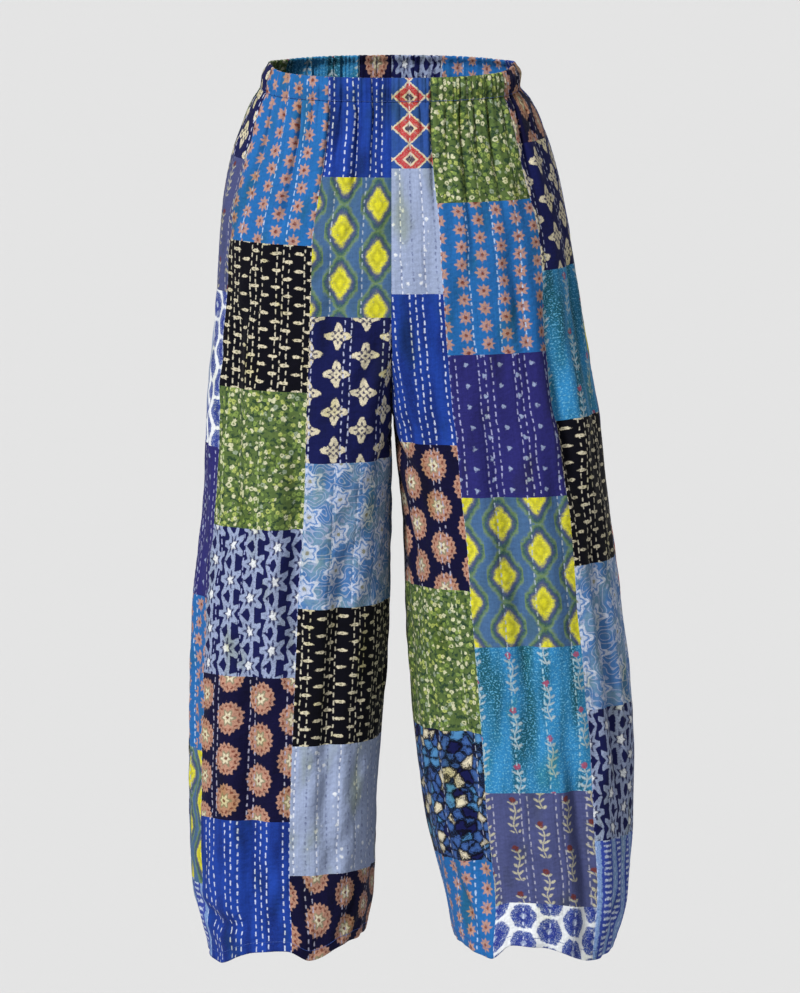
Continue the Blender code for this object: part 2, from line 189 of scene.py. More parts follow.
# %% [markdown]
# A table gives a few heights, and the cloth needs a value at every height. A cubic curve
# through the rows, which never swings past them, keeps the form smooth and free of bulges
# that no row asked for.

# %% Reading the tables


def along(table, column, at):
    """A smooth value between the rows of a table, which never overshoots them."""
    places = np.array([row[0] for row in table])
    values = np.array([getattr(row, column) for row in table])
    slopes = np.diff(values) / np.diff(places)
    before, after = slopes[:-1], slopes[1:]
    same_way = before * after > 0
    total = np.where(same_way, before + after, 1.0)
    bends = np.zeros(len(values))
    bends[1:-1] = np.where(same_way, 2 * before * after / total, 0.0)
    at = np.clip(at, places[0], places[-1])
    k = np.clip(np.searchsorted(places, at, side="right") - 1, 0, len(slopes) - 1)
    step = places[k + 1] - places[k]
    s = (at - places[k]) / step
    return ((2 * s ** 3 - 3 * s ** 2 + 1) * values[k] + (s ** 3 - 2 * s ** 2 + s) * step * bends[k]
            + (3 * s ** 2 - 2 * s ** 3) * values[k + 1] + (s ** 3 - s ** 2) * step * bends[k + 1])


def ease(value):
    """0 below 0, 1 above 1 and a soft step between."""
    value = np.clip(value, 0.0, 1.0)
    return value * value * (3 - 2 * value)


def inner_edge_depth(face, drop):
    """The depth of the centre seam, of the crotch curve or of the inseam."""
    crest = along(GIRTHS, face, drop)
    start, power = CROTCHES[face]
    reach = np.clip((drop - start) / (FORK_DROP - start), 0.0, 1.0)
    return INSEAM_DEPTH + (crest - INSEAM_DEPTH) * (1 - reach ** power) ** (1 / power)


# %% [markdown]
# The sections are worked out once, two millimetres apart, and divided into even lengths.
# After that, any place on the form is a matter of looking up its two nearest sections.

# %% Sections as dense tables
SECTION_STEP = 0.002     # one section every two millimetres of drop
SECTION_DROPS = np.arange(0.0, 1.0, SECTION_STEP)
QUARTER_STEPS = 60
ARC_STEPS = 256          # each section is divided evenly into this many lengths

Sections = namedtuple("Sections", "x y width grain")


def measure_sections(leg, face):
    """Every section's points at even distances from the side seam, its width and its grain.

    The grain is the distance from the side seam of the straight thread that runs down the
    middle of the leg."""
    outer = along(EDGES[leg], "outer", SECTION_DROPS)
    inner = along(EDGES[leg], "inner", SECTION_DROPS)
    peak = inner + along(GIRTHS, face + "_peak", SECTION_DROPS) * (outer - inner)
    crest = along(GIRTHS, face, SECTION_DROPS)
    edge = inner_edge_depth(face, SECTION_DROPS)
    corner_depth = np.minimum(abs(edge - crest), along(GIRTHS, face + "_corner", SECTION_DROPS))
    corner = crest + np.where(edge > crest, 1, -1) * corner_depth
    turn = np.linspace(0.0, math.pi / 2, QUARTER_STEPS + 1)
    cosine = np.clip(np.cos(turn), 0.0, 1.0)
    sine = np.sin(turn)
    x = np.concatenate((
        peak[:, None] + (outer - peak)[:, None] * cosine ** (2 / TORSO_POWER),
        peak[:, None] - (peak - inner)[:, None] * sine ** (2 / THIGH_POWER),
        inner[:, None],
    ), axis=1)
    y = np.concatenate((
        SIDE_DEPTH + (crest - SIDE_DEPTH)[:, None] * sine ** (2 / TORSO_POWER),
        corner[:, None] + (crest - corner)[:, None] * cosine ** (2 / THIGH_POWER),
        edge[:, None],
    ), axis=1)
    steps = np.hypot(np.diff(x, axis=1), np.diff(y, axis=1))
    reached = np.concatenate((np.zeros((len(x), 1)), np.cumsum(steps, axis=1)), axis=1)
    width = reached[:, -1]
    even = np.linspace(0.0, 1.0, ARC_STEPS + 1)
    even_x = np.array([np.interp(even * w, r, line) for w, r, line in zip(width, reached, x)])
    even_y = np.array([np.interp(even * w, r, line) for w, r, line in zip(width, reached, y)])
    middle = (outer + inner) / 2
    grain = np.array([np.interp(-m, -line, r) for m, r, line in zip(middle, reached, x)])
    return Sections(even_x, even_y, width, grain)


SECTIONS = {panel: measure_sections(*panel) for panel in PANELS}
for panel in PANELS:
    print(panel, "hip", round(np.interp(0.25, SECTION_DROPS, SECTIONS[panel].width), 3), "m",
          "hem", round(np.interp(HEM_DROP, SECTION_DROPS, SECTIONS[panel].width), 3), "m")


# %% [markdown]
# ## From flat cloth to form
#
# Cloth is woven flat, so a print and its patches are straight on the flat cloth and only bend
# with it. Each place of a panel is therefore known twice: as a flat place, in metres across
# and down the cloth, and as a place in space. Rows of threads are level across the hips, and
# between the legs they turn square to the crotch seam, as cloth there is pulled. Down the
# leg, the straight thread of the flat cloth runs midway between the two seams. Above the
# hips it keeps its distance from the centre seam, which is cut straight. The elastic gathers
# the cloth there: the waist is cut about a quarter wider than it is when relaxed, or it
# wouldn't pull on over the hips.

# %% Flat and lifted places
GATHER = 1.24            # flat cloth to the length of the relaxed waist
GATHER_DROP = 0.20       # where gathering has died away, at the hips
EDGE_SHARE = 0.7         # near the inner edge, places keep their share of a row instead
EVEN_REACH = 0.09        # columns slant this far above and below the fork
SIDE_RISE = 0.0035       # the rim is a little higher at the sides than in front
SIDE_RISE_SHARE = 0.35
SIDE_RISE_DROP = 0.07


def between(table, drop):
    return np.interp(drop, SECTION_DROPS, table)


def on_form(panel, drop, distance):
    """The places on the smooth form at distances along its sections from the side seam."""
    leg, _ = panel
    cut = SECTIONS[panel]
    row = np.clip(drop / SECTION_STEP, 0, len(cut.width) - 1.001)
    i = row.astype(int)
    a = row - i
    width = between(cut.width, drop)
    share = np.clip(distance / width, 0.0, 1.0)
    x, y = np.zeros(share.shape), np.zeros(share.shape)
    for near_row, weight in ((i, 1 - a), (i + 1, a)):
        row_width = cut.width[near_row]
        reached = share * width + (row_width - width) * ease((share - EDGE_SHARE) / (1 - EDGE_SHARE))
        column = np.clip(reached / row_width, 0.0, 1 - 1e-9) * ARC_STEPS
        j = column.astype(int)
        b = column - j
        x += weight * (cut.x[near_row, j] * (1 - b) + cut.x[near_row, j + 1] * b)
        y += weight * (cut.y[near_row, j] * (1 - b) + cut.y[near_row, j + 1] * b)
    rise = SIDE_RISE * ease(1 - share / SIDE_RISE_SHARE) * ease(1 - drop / SIDE_RISE_DROP)
    return np.stack((SIDE_SIGN[leg] * x, y, RIM_Z - drop + rise), axis=-1)


def flat_across(panel, drop, distance):
    """How far a place lies from the straight thread of the leg, on the flat cloth.

    It is more than 0 towards the side seam."""
    cut = SECTIONS[panel]
    in_leg = between(cut.grain, drop) - distance
    centre_edge = between(cut.grain, GATHER_DROP) - between(cut.width, GATHER_DROP)
    gather = 1 + (GATHER - 1) * ease((GATHER_DROP - drop) / (GATHER_DROP - BAND_HEIGHT))
    in_torso = centre_edge + gather * (between(cut.width, drop) - distance)
    return np.where(drop < GATHER_DROP, in_torso, in_leg)


def evened(widths):
    """Widths without their sudden rise at the fork, so that columns don't bend sharply there."""
    steps = round(EVEN_REACH / SECTION_STEP)
    window = np.hanning(2 * steps + 1)
    blurred = np.convolve(np.pad(widths, steps, mode="edge"), window / window.sum(), mode="valid")
    near_fork = ease(2 - abs(SECTION_DROPS - FORK_DROP) / EVEN_REACH)
    return widths + (blurred - widths) * near_fork


EVENED = {panel: evened(SECTIONS[panel].width) for panel in PANELS}


def seam_drop(face, side_drop):
    """Where the row that meets the side seam at a drop leaves the inner seam."""
    start, power = CROTCHES[face]
    curve = np.clip((side_drop - start) / (FORK_SIDE_DROP - start), 0.0, 1.0)
    in_crotch = start + (FORK_DROP - start) * np.sin(math.pi / 2 * curve) ** (2 / power)
    below = (side_drop - FORK_SIDE_DROP) / (LEVEL_DROP - FORK_SIDE_DROP)
    in_leg = FORK_DROP + (LEVEL_DROP - FORK_DROP) * below
    level = (side_drop <= start) | (side_drop >= LEVEL_DROP)
    return np.where(level, side_drop, np.where(side_drop < FORK_SIDE_DROP, in_crotch, in_leg))


def panel_places(panel, side_drops, shares):
    """Flat places (across, down), form places and distances to both seams, for a grid."""
    leg, face = panel
    side = side_drops[:, None]
    share = shares[None, :]
    seam = seam_drop(face, side)
    level = 1 - (1 - np.minimum(1.0, share / LEVEL_SHARE)) ** 2
    down = seam + (side - seam) * level
    waves = ease((side - HEM_DROP + HEM_SETTLE) / HEM_SETTLE)
    drop = down + waves * along(HEM_LINES[panel], "below", share)
    width = (between(EVENED[panel], drop) * level
             + between(SECTIONS[panel].width, seam) * (1 - level))
    distance = (1 - share) * width
    flat = np.stack((flat_across(panel, down, distance), down), axis=-1)
    return flat, on_form(panel, drop, distance), distance, width - distance


def sideways(places):
    """The direction along the rows of a grid at each of its places."""
    along_rows = np.gradient(places, axis=1)
    return along_rows / np.linalg.norm(along_rows, axis=-1, keepdims=True)


def outward(places, panel):
    """The outward direction at each place of a grid."""
    leg, face = panel
    across = np.gradient(places, axis=1)
    down = np.gradient(places, axis=0)
    ways = np.cross(down, across)
    ways /= np.linalg.norm(ways, axis=-1, keepdims=True)
    middle = ways[len(ways) // 2, ways.shape[1] // 2, 1]
    return ways * (-np.sign(middle) if face == "front" else np.sign(middle))


# %% [markdown]
# ## Pleats, folds and creases
#
# The elastic draws the cloth into fine pleats a few millimetres apart. Most die away a few
# centimetres down, and some run on down the belly as long folds. The wide legs hang in broad
# soft folds, drag lines fan out from the fork, and the hem kinks. All but the fine pleats are
# listed one by one on the flat cloth, each as a line with a width and a depth in millimetres. A
# cloth simulation would need a body inside it and would move the outline, so a listed
# fold is both truer to the photograph and quicker.

# %% Pleats that hang from the elastic
# across the flat cloth at the top and at the end, drop of the end, half width and depth, in mm
Pleat = namedtuple("Pleat", "top end drop width depth")
PLEATS = {
    ("left", "front"): (
        Pleat(-88, -87, 118, 2.4, 4.4), Pleat(-62, -56, 92, 2.2, 3.9), Pleat(-45, -50, 196, 2.6, 6.8),
        Pleat(-24, -27, 140, 2.3, 4.4), Pleat(-3, -12, 226, 2.8, 7.3), Pleat(18, 13, 118, 2.2, 4.4),
        Pleat(39, 33, 178, 2.6, 6.1), Pleat(64, 62, 96, 2.3, 4.1), Pleat(86, 90, 152, 2.6, 5.4),
        Pleat(116, 118, 90, 2.4, 3.7),
    ),
    ("right", "front"): (
        Pleat(-92, -90, 98, 2.3, 3.7), Pleat(-70, -73, 142, 2.5, 5.4), Pleat(-47, -52, 194, 2.7, 6.6),
        Pleat(-27, -25, 104, 2.3, 3.9), Pleat(-8, -13, 170, 2.6, 5.9), Pleat(14, 17, 92, 2.2, 3.9),
        Pleat(36, 28, 212, 2.8, 7.1), Pleat(60, 58, 112, 2.4, 4.4), Pleat(84, 88, 158, 2.6, 5.4),
        Pleat(112, 115, 92, 2.4, 3.7),
    ),
    ("left", "back"): (
        Pleat(-90, -86, 120, 2.4, 4.4), Pleat(-64, -68, 206, 2.8, 6.8), Pleat(-42, -36, 98, 2.3, 3.9),
        Pleat(-20, -24, 168, 2.6, 5.9), Pleat(2, 4, 108, 2.3, 4.1), Pleat(24, 18, 226, 2.8, 7.3),
        Pleat(50, 52, 130, 2.4, 4.9), Pleat(74, 68, 178, 2.6, 5.9), Pleat(100, 102, 98, 2.3, 3.9),
        Pleat(122, 120, 128, 2.4, 4.1),
    ),
    ("right", "back"): (
        Pleat(-94, -92, 92, 2.3, 3.9), Pleat(-72, -74, 172, 2.6, 6.1), Pleat(-48, -52, 118, 2.4, 4.4),
        Pleat(-24, -16, 214, 2.8, 7.1), Pleat(-2, 0, 98, 2.2, 3.9), Pleat(20, 14, 158, 2.6, 5.6),
        Pleat(44, 46, 112, 2.3, 4.4), Pleat(66, 60, 196, 2.7, 6.6), Pleat(92, 96, 104, 2.4, 4.1),
        Pleat(118, 114, 148, 2.5, 4.9),
    ),
}
print(sum(map(len, PLEATS.values())), "pleats")

# %% Folds and creases further down
# two ends on the flat cloth (across, drop), half width, depth and how far it bows out, in mm
Fold = namedtuple("Fold", "across_1 drop_1 across_2 drop_2 width depth bow")
FOLDS = {
    ("left", "front"): (
        Fold(-6, 360, 6, 780, 14, 12.5, 8), Fold(74, 230, 98, 500, 12, 11.5, -5),
        Fold(104, 500, 118, 800, 11, 9.5, 4), Fold(140, 560, 150, 860, 7, 4.6, -3),
        Fold(-70, 610, -48, 950, 13, 9.6, -8), Fold(44, 700, 60, 985, 13, 11.5, 7),
        Fold(-196, 372, -96, 452, 8, 4.1, 8), Fold(-160, 392, -112, 560, 7, 3.4, -6),
        Fold(-104, 250, -58, 404, 9, 4.9, 8), Fold(-30, 850, 30, 905, 10, 3.8, 5),
        Fold(96, 900, 130, 955, 7, 3.6, -3), Fold(-104, 880, -66, 966, 7, 3.8, 3),
        Fold(28, 170, 46, 330, 10, 3.8, 5), Fold(134, 190, 146, 420, 9, 3.8, -5),
    ),
    ("right", "front"): (
        Fold(10, 320, -2, 680, 13, 11.5, -7), Fold(84, 240, 70, 520, 12, 10.0, 6),
        Fold(-62, 480, -54, 900, 12, 9.6, 8), Fold(50, 600, 36, 985, 13, 11.0, -6),
        Fold(132, 908, 34, 940, 7, 6.3, 5), Fold(128, 560, 134, 860, 9, 4.1, 4),
        Fold(-190, 372, -92, 442, 8, 4.1, 8), Fold(-158, 390, -116, 540, 7, 3.4, -5),
        Fold(-103, 252, -60, 396, 9, 4.1, 7), Fold(-96, 900, -60, 962, 7, 3.8, -4),
        Fold(104, 300, 118, 480, 10, 4.1, -5), Fold(-20, 886, 26, 968, 9, 3.4, 4),
        Fold(-28, 190, -22, 350, 11, 3.6, -5), Fold(138, 300, 150, 420, 7, 3.1, 3),
    ),
    ("left", "back"): (
        Fold(-16, 330, -6, 720, 15, 11.4, -8), Fold(70, 360, 62, 640, 12, 8.8, 6),
        Fold(-74, 560, -56, 930, 13, 8.8, 7), Fold(40, 690, 52, 985, 14, 10.1, -6),
        Fold(124, 480, 132, 780, 9, 4.9, -4), Fold(-176, 386, -86, 470, 9, 5.5, 9),
        Fold(-150, 410, -104, 570, 8, 3.8, -7), Fold(-96, 220, -52, 392, 11, 6.1, 9),
        Fold(-108, 330, -30, 400, 9, 4.9, 7), Fold(90, 890, 130, 960, 8, 3.8, 4),
        Fold(-96, 884, -50, 962, 8, 4.1, -4), Fold(110, 250, 128, 430, 10, 3.8, 5),
    ),
    ("right", "back"): (
        Fold(6, 320, -8, 660, 15, 10.7, 8), Fold(76, 330, 88, 590, 12, 8.5, -6),
        Fold(-66, 520, -58, 900, 13, 8.8, -7), Fold(46, 720, 30, 985, 14, 9.8, 6),
        Fold(120, 540, 130, 850, 9, 4.9, 4), Fold(-178, 384, -84, 456, 9, 5.5, 9),
        Fold(-154, 404, -106, 556, 8, 3.8, -7), Fold(-98, 222, -56, 384, 11, 6.1, 9),
        Fold(-106, 336, -38, 412, 9, 4.1, 7), Fold(-20, 880, 60, 934, 9, 4.9, 5),
        Fold(-98, 888, -54, 960, 8, 3.8, 4), Fold(108, 262, 122, 420, 10, 3.8, -5),
    ),
}
print(sum(map(len, FOLDS.values())), "folds")


# %% [markdown]
# A fold in cloth isn't a plain dent. Cloth can't shrink, so what sinks into the valley comes
# from the two sides, which rise a little. The profile below has that shape: one valley and
# two low shoulders, one higher than the other.

# %% Shapes of folds
SHOULDER_AT = 1.9        # in half widths from the valley
SHOULDER_WIDTH = 1.15
NEAR_SHOULDER = 0.34     # heights, as shares of the valley's depth
FAR_SHOULDER = 0.20
FOLD_TAPER = 0.75


def valley(off, width):
    """How deep cloth lies at a distance off a fold's line, as a share of its depth."""
    near = np.exp(-((off - SHOULDER_AT * width) / (SHOULDER_WIDTH * width)) ** 2)
    far = np.exp(-((off + SHOULDER_AT * width) / (SHOULDER_WIDTH * width)) ** 2)
    return np.exp(-(off / width) ** 2) - NEAR_SHOULDER * near - FAR_SHOULDER * far


def fold_depth(fold, across, drop):
    x, y = across / MM - fold.across_1, drop / MM - fold.drop_1
    run_x, run_y = fold.across_2 - fold.across_1, fold.drop_2 - fold.drop_1
    length = math.hypot(run_x, run_y)
    run = np.clip((x * run_x + y * run_y) / length ** 2, 0.0, 1.0)
    off = (x * run_y - y * run_x) / length - fold.bow * np.sin(math.pi * run)
    strength = np.sin(math.pi * run) ** FOLD_TAPER
    return fold.depth * MM * strength * valley(off, fold.width)


# %% [markdown]
# The fine pleats are too many to place one by one, and they follow a rule: one about every
# seven millimetres of flat cloth, with sharp valleys and round ridges, never quite even. A
# wave whose phase wanders makes them. The long pleats are deeper than they are wide, and the
# cloth on one side laps over the valley, which is why they show as thin dark lines. Both
# begin on the casing, where they are shallow, because the elastic fills it.

# %% Gathers
FINE_PLEAT = 0.0072          # flat cloth to one fine pleat
FINE_DEPTH = 0.0026
FINE_FADE = 0.024            # how far below the elastic they last
PLEAT_SPREAD = 1.2           # a pleat is this much wider at its end than at the elastic
PLEAT_TOP = 0.8              # towards 0, a pleat keeps its depth for more of its run
LAP = 0.50                   # how far the cloth laps over a pleat, as a share of its depth
LAP_AT = 1.15                # where it laps from, in half widths
AT_RIM, AT_STITCHES = 0.22, 0.40   # how deep pleats are on the casing, as shares
PLEAT_GROWTH = 0.012         # how far below the casing they are fully deep

Wander = namedtuple("Wander", "share length starts")   # starts, as turns of a panel's own angle
PHASE_WANDERS = (Wander(0.30, 0.047, 1), Wander(0.16, 0.021, 2))
STRENGTH_WANDER = Wander(0.28, 0.031, 3)
PANEL_ANGLE = 1.7


def panel_seed(panel):
    return PANELS.index(panel) + 1


def wandering(panel, across, wander):
    """A wave along the cloth that starts at another place on each panel."""
    start = wander.starts * PANEL_ANGLE * panel_seed(panel)
    return wander.share * np.sin(2 * math.pi * across / wander.length + start)


def fine_pleats(panel, across):
    """From 0 on a ridge to 1 in a valley."""
    phase = across / FINE_PLEAT + sum(wandering(panel, across, wander) for wander in PHASE_WANDERS)
    strength = 1 - STRENGTH_WANDER.share + wandering(panel, across, STRENGTH_WANDER)
    return strength * (1 - abs(np.sin(math.pi * phase)))


def long_pleats(panel, across, drop):
    """Depth of the long pleats, and how far the cloth shifts towards the side seam."""
    casing_share = AT_RIM + (AT_STITCHES - AT_RIM) * ease(drop / BAND_HEIGHT)
    share = casing_share + (1 - AT_STITCHES) * ease((drop - BAND_HEIGHT) / PLEAT_GROWTH)
    depth = np.zeros(np.broadcast(across, drop).shape)
    shift = np.zeros(depth.shape)
    for pleat in PLEATS[panel]:
        run = np.clip((drop - BAND_HEIGHT) / (pleat.drop * MM - BAND_HEIGHT), 0.0, 1.0)
        line = (pleat.top + (pleat.end - pleat.top) * run) * MM
        width = pleat.width * MM * (1 + PLEAT_SPREAD * run)
        fall = pleat.depth * MM * (1 - run) ** PLEAT_TOP * share
        lap_side = 1 if pleat.end < pleat.top else -1
        off = lap_side * (across - line)
        depth += fall * valley(off, width)
        lap = np.exp(-((off - LAP_AT * width) / (LAP_AT * width)) ** 2)
        shift -= lap_side * LAP * fall * (1 - run) * lap
    return depth, shift


# %% [markdown]
# A few long shallow waves, each with its own direction, keep the wide smooth parts of the
# legs from looking like sheet metal.

# %% A restless surface
WAVES = 9
WAVE_HEIGHT = 0.00042
SHORTEST_WAVE, LONGEST_WAVE = 0.022, 0.070
WAVE_LEAN = 0.35             # how widely their directions differ, in radians
RESTLESS_FROM = 0.04         # they grow to their full height this far below the casing


def restless(panel, across, drop):
    """Low waves in many directions, mostly running down the leg."""
    random = np.random.default_rng(panel_seed(panel))
    height = np.zeros(np.broadcast(across, drop).shape)
    for _ in range(WAVES):
        length = random.uniform(SHORTEST_WAVE, LONGEST_WAVE)
        lean = random.normal(0.0, WAVE_LEAN)
        phase = random.uniform(0.0, 2 * math.pi)
        place = across * math.cos(lean) + drop * math.sin(lean)
        height += WAVE_HEIGHT * np.sin(2 * math.pi * place / length + phase)
    return height


# %% [markdown]
# Where two panels are sewn, their edges are turned in, so a seam shows as a narrow groove
# with small puckers along it. Both panels get the same groove and the same puckers, because
# they share the thread. Folds flatten out towards a seam, which is three layers thick.

# %% Depth of the cloth everywhere on a panel
GROOVE_DEPTH = 0.0011
GROOVE_WIDTH = 0.0024
PUCKER_DEPTH = 0.00035
PUCKER_LENGTH = 0.011
PUCKER_DRIFT = 0.019         # puckers lie closer and wider in turn over this length
PUCKER_REACH = 0.006         # how far they reach from the seam
SEAM_START = 0.006           # groove and puckers begin this far below the casing
SEAM_STIFFNESS = 0.013       # folds fade out over this distance to a seam
FINE_STIFFNESS = 0.003       # and fine pleats over this one


def from_seam(to_seam, reach):
    """0 at a seam and 1 well beyond a reach from it."""
    return 1 - np.exp(-(to_seam / reach) ** 2)


def cloth_offsets(panel, flat, to_side, to_inner):
    """How far in from the smooth form the cloth lies, and how far it shifts sideways."""
    across, drop = flat[..., 0], flat[..., 1]
    depth, shift = long_pleats(panel, across, drop)
    depth += restless(panel, across, drop) * ease((drop - BAND_HEIGHT) / RESTLESS_FROM)
    for fold in FOLDS[panel]:
        depth += fold_depth(fold, across, drop)
    to_seam = np.minimum(to_side, to_inner)
    loose = from_seam(to_seam, SEAM_STIFFNESS)
    fade = np.exp(-np.maximum(drop - BAND_HEIGHT, 0.0) / FINE_FADE)
    fine = FINE_DEPTH * fade * fine_pleats(panel, across) * from_seam(to_seam, FINE_STIFFNESS)
    pucker = np.sin(2 * math.pi * drop / PUCKER_LENGTH + 2 * np.sin(drop / PUCKER_DRIFT))
    seam = (GROOVE_DEPTH * np.exp(-(to_seam / GROOVE_WIDTH) ** 2)
            + PUCKER_DEPTH * pucker * np.exp(-(to_seam / PUCKER_REACH) ** 2))
    seam = seam * ease((drop - BAND_HEIGHT) / SEAM_START)
    return depth * loose + fine + seam, shift * loose


# %% [markdown]
# ## The patches of the print
#
# The cloth is printed to look like old quilted patchwork: strips of patches as wide as a
# hand, staggered, each with its own block-printed motif and with rows of white running
# stitches over it. The prints here are everyday folk motifs, and their layout is this
# notebook's own. The layout is a table: for each panel the strips from the inner seam to the
# side, and down each strip its patches with the drop where each one ends.

# %% Layout of the patches
Strip = namedtuple("Strip", "until patches")   # all in millimetres on the flat cloth
END = 1200                                     # past every edge
LAYOUT = {
    ("right", "front"): (
        Strip(-8, (("cobalt_quilting", 108), ("citron_ikat", 262), ("navy_stars", 424),
                   ("sky_trellis", 586), ("black_seeds", 738), ("lavender_seeds", 882),
                   ("tan_wheels", END))),
        Strip(110, (("sky_daisies", 184), ("black_seeds", 346), ("lime_ditsy", 498),
                    ("navy_blossom", 662), ("tan_wheels", 822), ("cobalt_quilting", END))),
        Strip(END, (("navy_stars", 96), ("slate_sprigs", 244), ("cobalt_scales", 414),
                    ("violet_spots", 580), ("sky_daisies", 750), ("citron_ikat", 896),
                    ("blue_ladder", END))),
    ),
    ("left", "front"): (
        Strip(-46, (("red_lattice", 98), ("lavender_seeds", 236), ("cobalt_quilting", 404),
                    ("tan_wheels", 566), ("lime_ditsy", 724), ("navy_pebbles", 868),
                    ("sky_daisies", END))),
        Strip(74, (("lime_ditsy", 136), ("sky_daisies", 304), ("violet_spots", 462),
                   ("citron_ikat", 628), ("teal_sprigs", 790), ("slate_sprigs", 916),
                   ("cobalt_scales", END))),
        Strip(END, (("tan_wheels", 76), ("navy_stars", 216), ("teal_sprigs", 380),
                    ("black_seeds", 540), ("sky_trellis", 700), ("navy_blossom", 846),
                    ("blue_ladder", END))),
    ),
    ("left", "back"): (
        Strip(-30, (("navy_blossom", 164), ("slate_sprigs", 326), ("sky_daisies", 490),
                    ("citron_ikat", 652), ("cobalt_quilting", 812), ("tan_wheels", END))),
        Strip(84, (("sky_daisies", 112), ("black_seeds", 274), ("lime_ditsy", 436),
                   ("lavender_seeds", 592), ("navy_stars", 754), ("teal_sprigs", 902),
                   ("cobalt_scales", END))),
        Strip(END, (("cobalt_quilting", 188), ("citron_ikat", 344), ("violet_spots", 510),
                    ("red_lattice", 634), ("navy_pebbles", 796), ("sky_daisies", END))),
    ),
    ("right", "back"): (
        Strip(-52, (("tan_wheels", 136), ("sky_trellis", 296), ("tan_wheels", 462),
                    ("blue_ladder", 622), ("lime_ditsy", 784), ("navy_stars", END))),
        Strip(62, (("teal_sprigs", 176), ("citron_ikat", 336), ("cobalt_scales", 496),
                   ("slate_sprigs", 656), ("sky_daisies", 818), ("violet_spots", END))),
        Strip(END, (("lime_ditsy", 120), ("navy_pebbles", 284), ("lavender_seeds", 444),
                    ("cobalt_quilting", 604), ("black_seeds", 766), ("navy_blossom", 914),
                    ("sky_daisies", END))),
    ),
}

Patch = namedtuple("Patch", "name left right top bottom")


def patches_of(panel):
    """The patches of a panel as rectangles on the flat cloth, in metres."""
    found = []
    left = -END
    for strip in LAYOUT[panel]:
        top = -END
        for name, bottom in strip.patches:
            found.append(Patch(name, left * MM, strip.until * MM, top * MM, bottom * MM))
            top = bottom
        left = strip.until
    return found


print(sum(len(patches_of(panel)) for panel in PANELS), "patches")

# %% [markdown]
# ## Inks
#
# Colours are written as the hex values that a paint program shows, and one function turns
# them into the linear values that a renderer mixes.

# %% Colours


def ink(hex_value):
    """A linear colour from an sRGB hex value."""
    channels = [int(hex_value[i:i + 2], 16) / 255 for i in (1, 3, 5)]
    return (*((c / 12.92 if c <= 0.04045 else ((c + 0.055) / 1.055) ** 2.4) for c in channels), 1.0)


NAVY = ink("#13184a")
MIDNIGHT = ink("#0d0c30")
INK_BLACK = ink("#050510")
COBALT = ink("#1a3c90")
ROYAL = ink("#22348a")
BLUE = ink("#2466a8")
SKY = ink("#4f88ba")
LAVENDER = ink("#98a5c4")
SLATE = ink("#484e7a")
PINE = ink("#174c55")
YELLOW = ink("#e2dc2c")
OLIVE_YELLOW = ink("#a9a52a")
LIME = ink("#7d944c")
MOSS = ink("#536739")
CREAM = ink("#ddd3b6")
WHITE = ink("#e4e8ec")
TAN = ink("#b98d78")
MADDER = ink("#b81c2e")
RUST = ink("#6c3024")
KHAKI = ink("#85836a")

# %% [markdown]
# ## A node helper and the printed cotton
#
# Every material is a small tree of nodes. One helper adds a node, sets its properties, fills
# or links its inputs and hands back an output, so that a pattern reads like a formula. The
# patterns are worked out in millimetres on the flat cloth, which each piece carries as a UV
# map, so a motif has its true size and follows every fold.

# %% Node helper
MATH = "ShaderNodeMath"
VECTOR_MATH = "ShaderNodeVectorMath"
MIX_FACTOR, MIX_A, MIX_B, MIX_RESULT = 0, 6, 7, 2   # a colour Mix node's sockets


def add_node(tree, kind, links=None, output=0, **settings):
    """Add a node with its settings and links, and return one of its outputs."""
    node = tree.nodes.new(kind)
    for name, value in settings.items():
        setattr(node, name, value)
    for socket, value in (links or {}).items():
        if isinstance(value, bpy.types.NodeSocket):
            tree.links.new(value, node.inputs[socket])
        else:
            node.inputs[socket].default_value = value
    return node.outputs[output]


# %% [markdown]
# A block-printed ink has an edge that wanders a little and fades over a fraction of a
# millimetre, and rough cloth takes it up unevenly. So each motif is a distance with an edge,
# and the ink lies where the distance is under it.

# %% Printing an ink
CLOTH_MAP = "flat_cloth"
MM_PER_M = 1000.0
RAGGED_MM = 6.5          # an ink's edge wanders by about a tenth of this
RAGGED_SIZE_MM = 4.6     # and over what length
SOFT_EDGE_MM = 0.8       # and over what width it fades

Cloth = namedtuple("Cloth", "tree place across down ragged cover")   # places are in mm


def below(cloth, value, edge, soft):
    """1 where a value is under its edge and 0 elsewhere, with a soft step between."""
    return add_node(cloth.tree, "ShaderNodeMapRange",
                    {"Value": value, "From Min": edge - soft, "From Max": edge + soft,
                     "To Min": 1.0, "To Max": 0.0}, interpolation_type="SMOOTHSTEP")


def printed(cloth, distance, edge, soft=SOFT_EDGE_MM, ragged=RAGGED_MM):
    """1 where an ink lies, where a distance in mm is under its edge, and 0 elsewhere."""
    uneven = add_node(cloth.tree, MATH, {0: cloth.ragged, 1: ragged, 2: distance},
                      operation="MULTIPLY_ADD")
    return below(cloth, uneven, edge, soft)


def lay(cloth, ground, colour, where):
    """Lay an ink over a ground where a mask is 1, as fully as the cloth takes it up."""
    taken_up = add_node(cloth.tree, MATH, {0: where, 1: cloth.cover}, operation="MULTIPLY")
    return add_node(cloth.tree, "ShaderNodeMix",
                    {MIX_FACTOR: taken_up, MIX_A: ground, MIX_B: colour},
                    output=MIX_RESULT, data_type="RGBA")


# %% [markdown]
# Running stitches are what holds a real quilt of this kind together: groups of one to three
# rows, each stitch three to six millimetres long and about nine from the next. Here they are
# printed, so they are drawn as ink, and a soft dimple is drawn in the bump along each row.

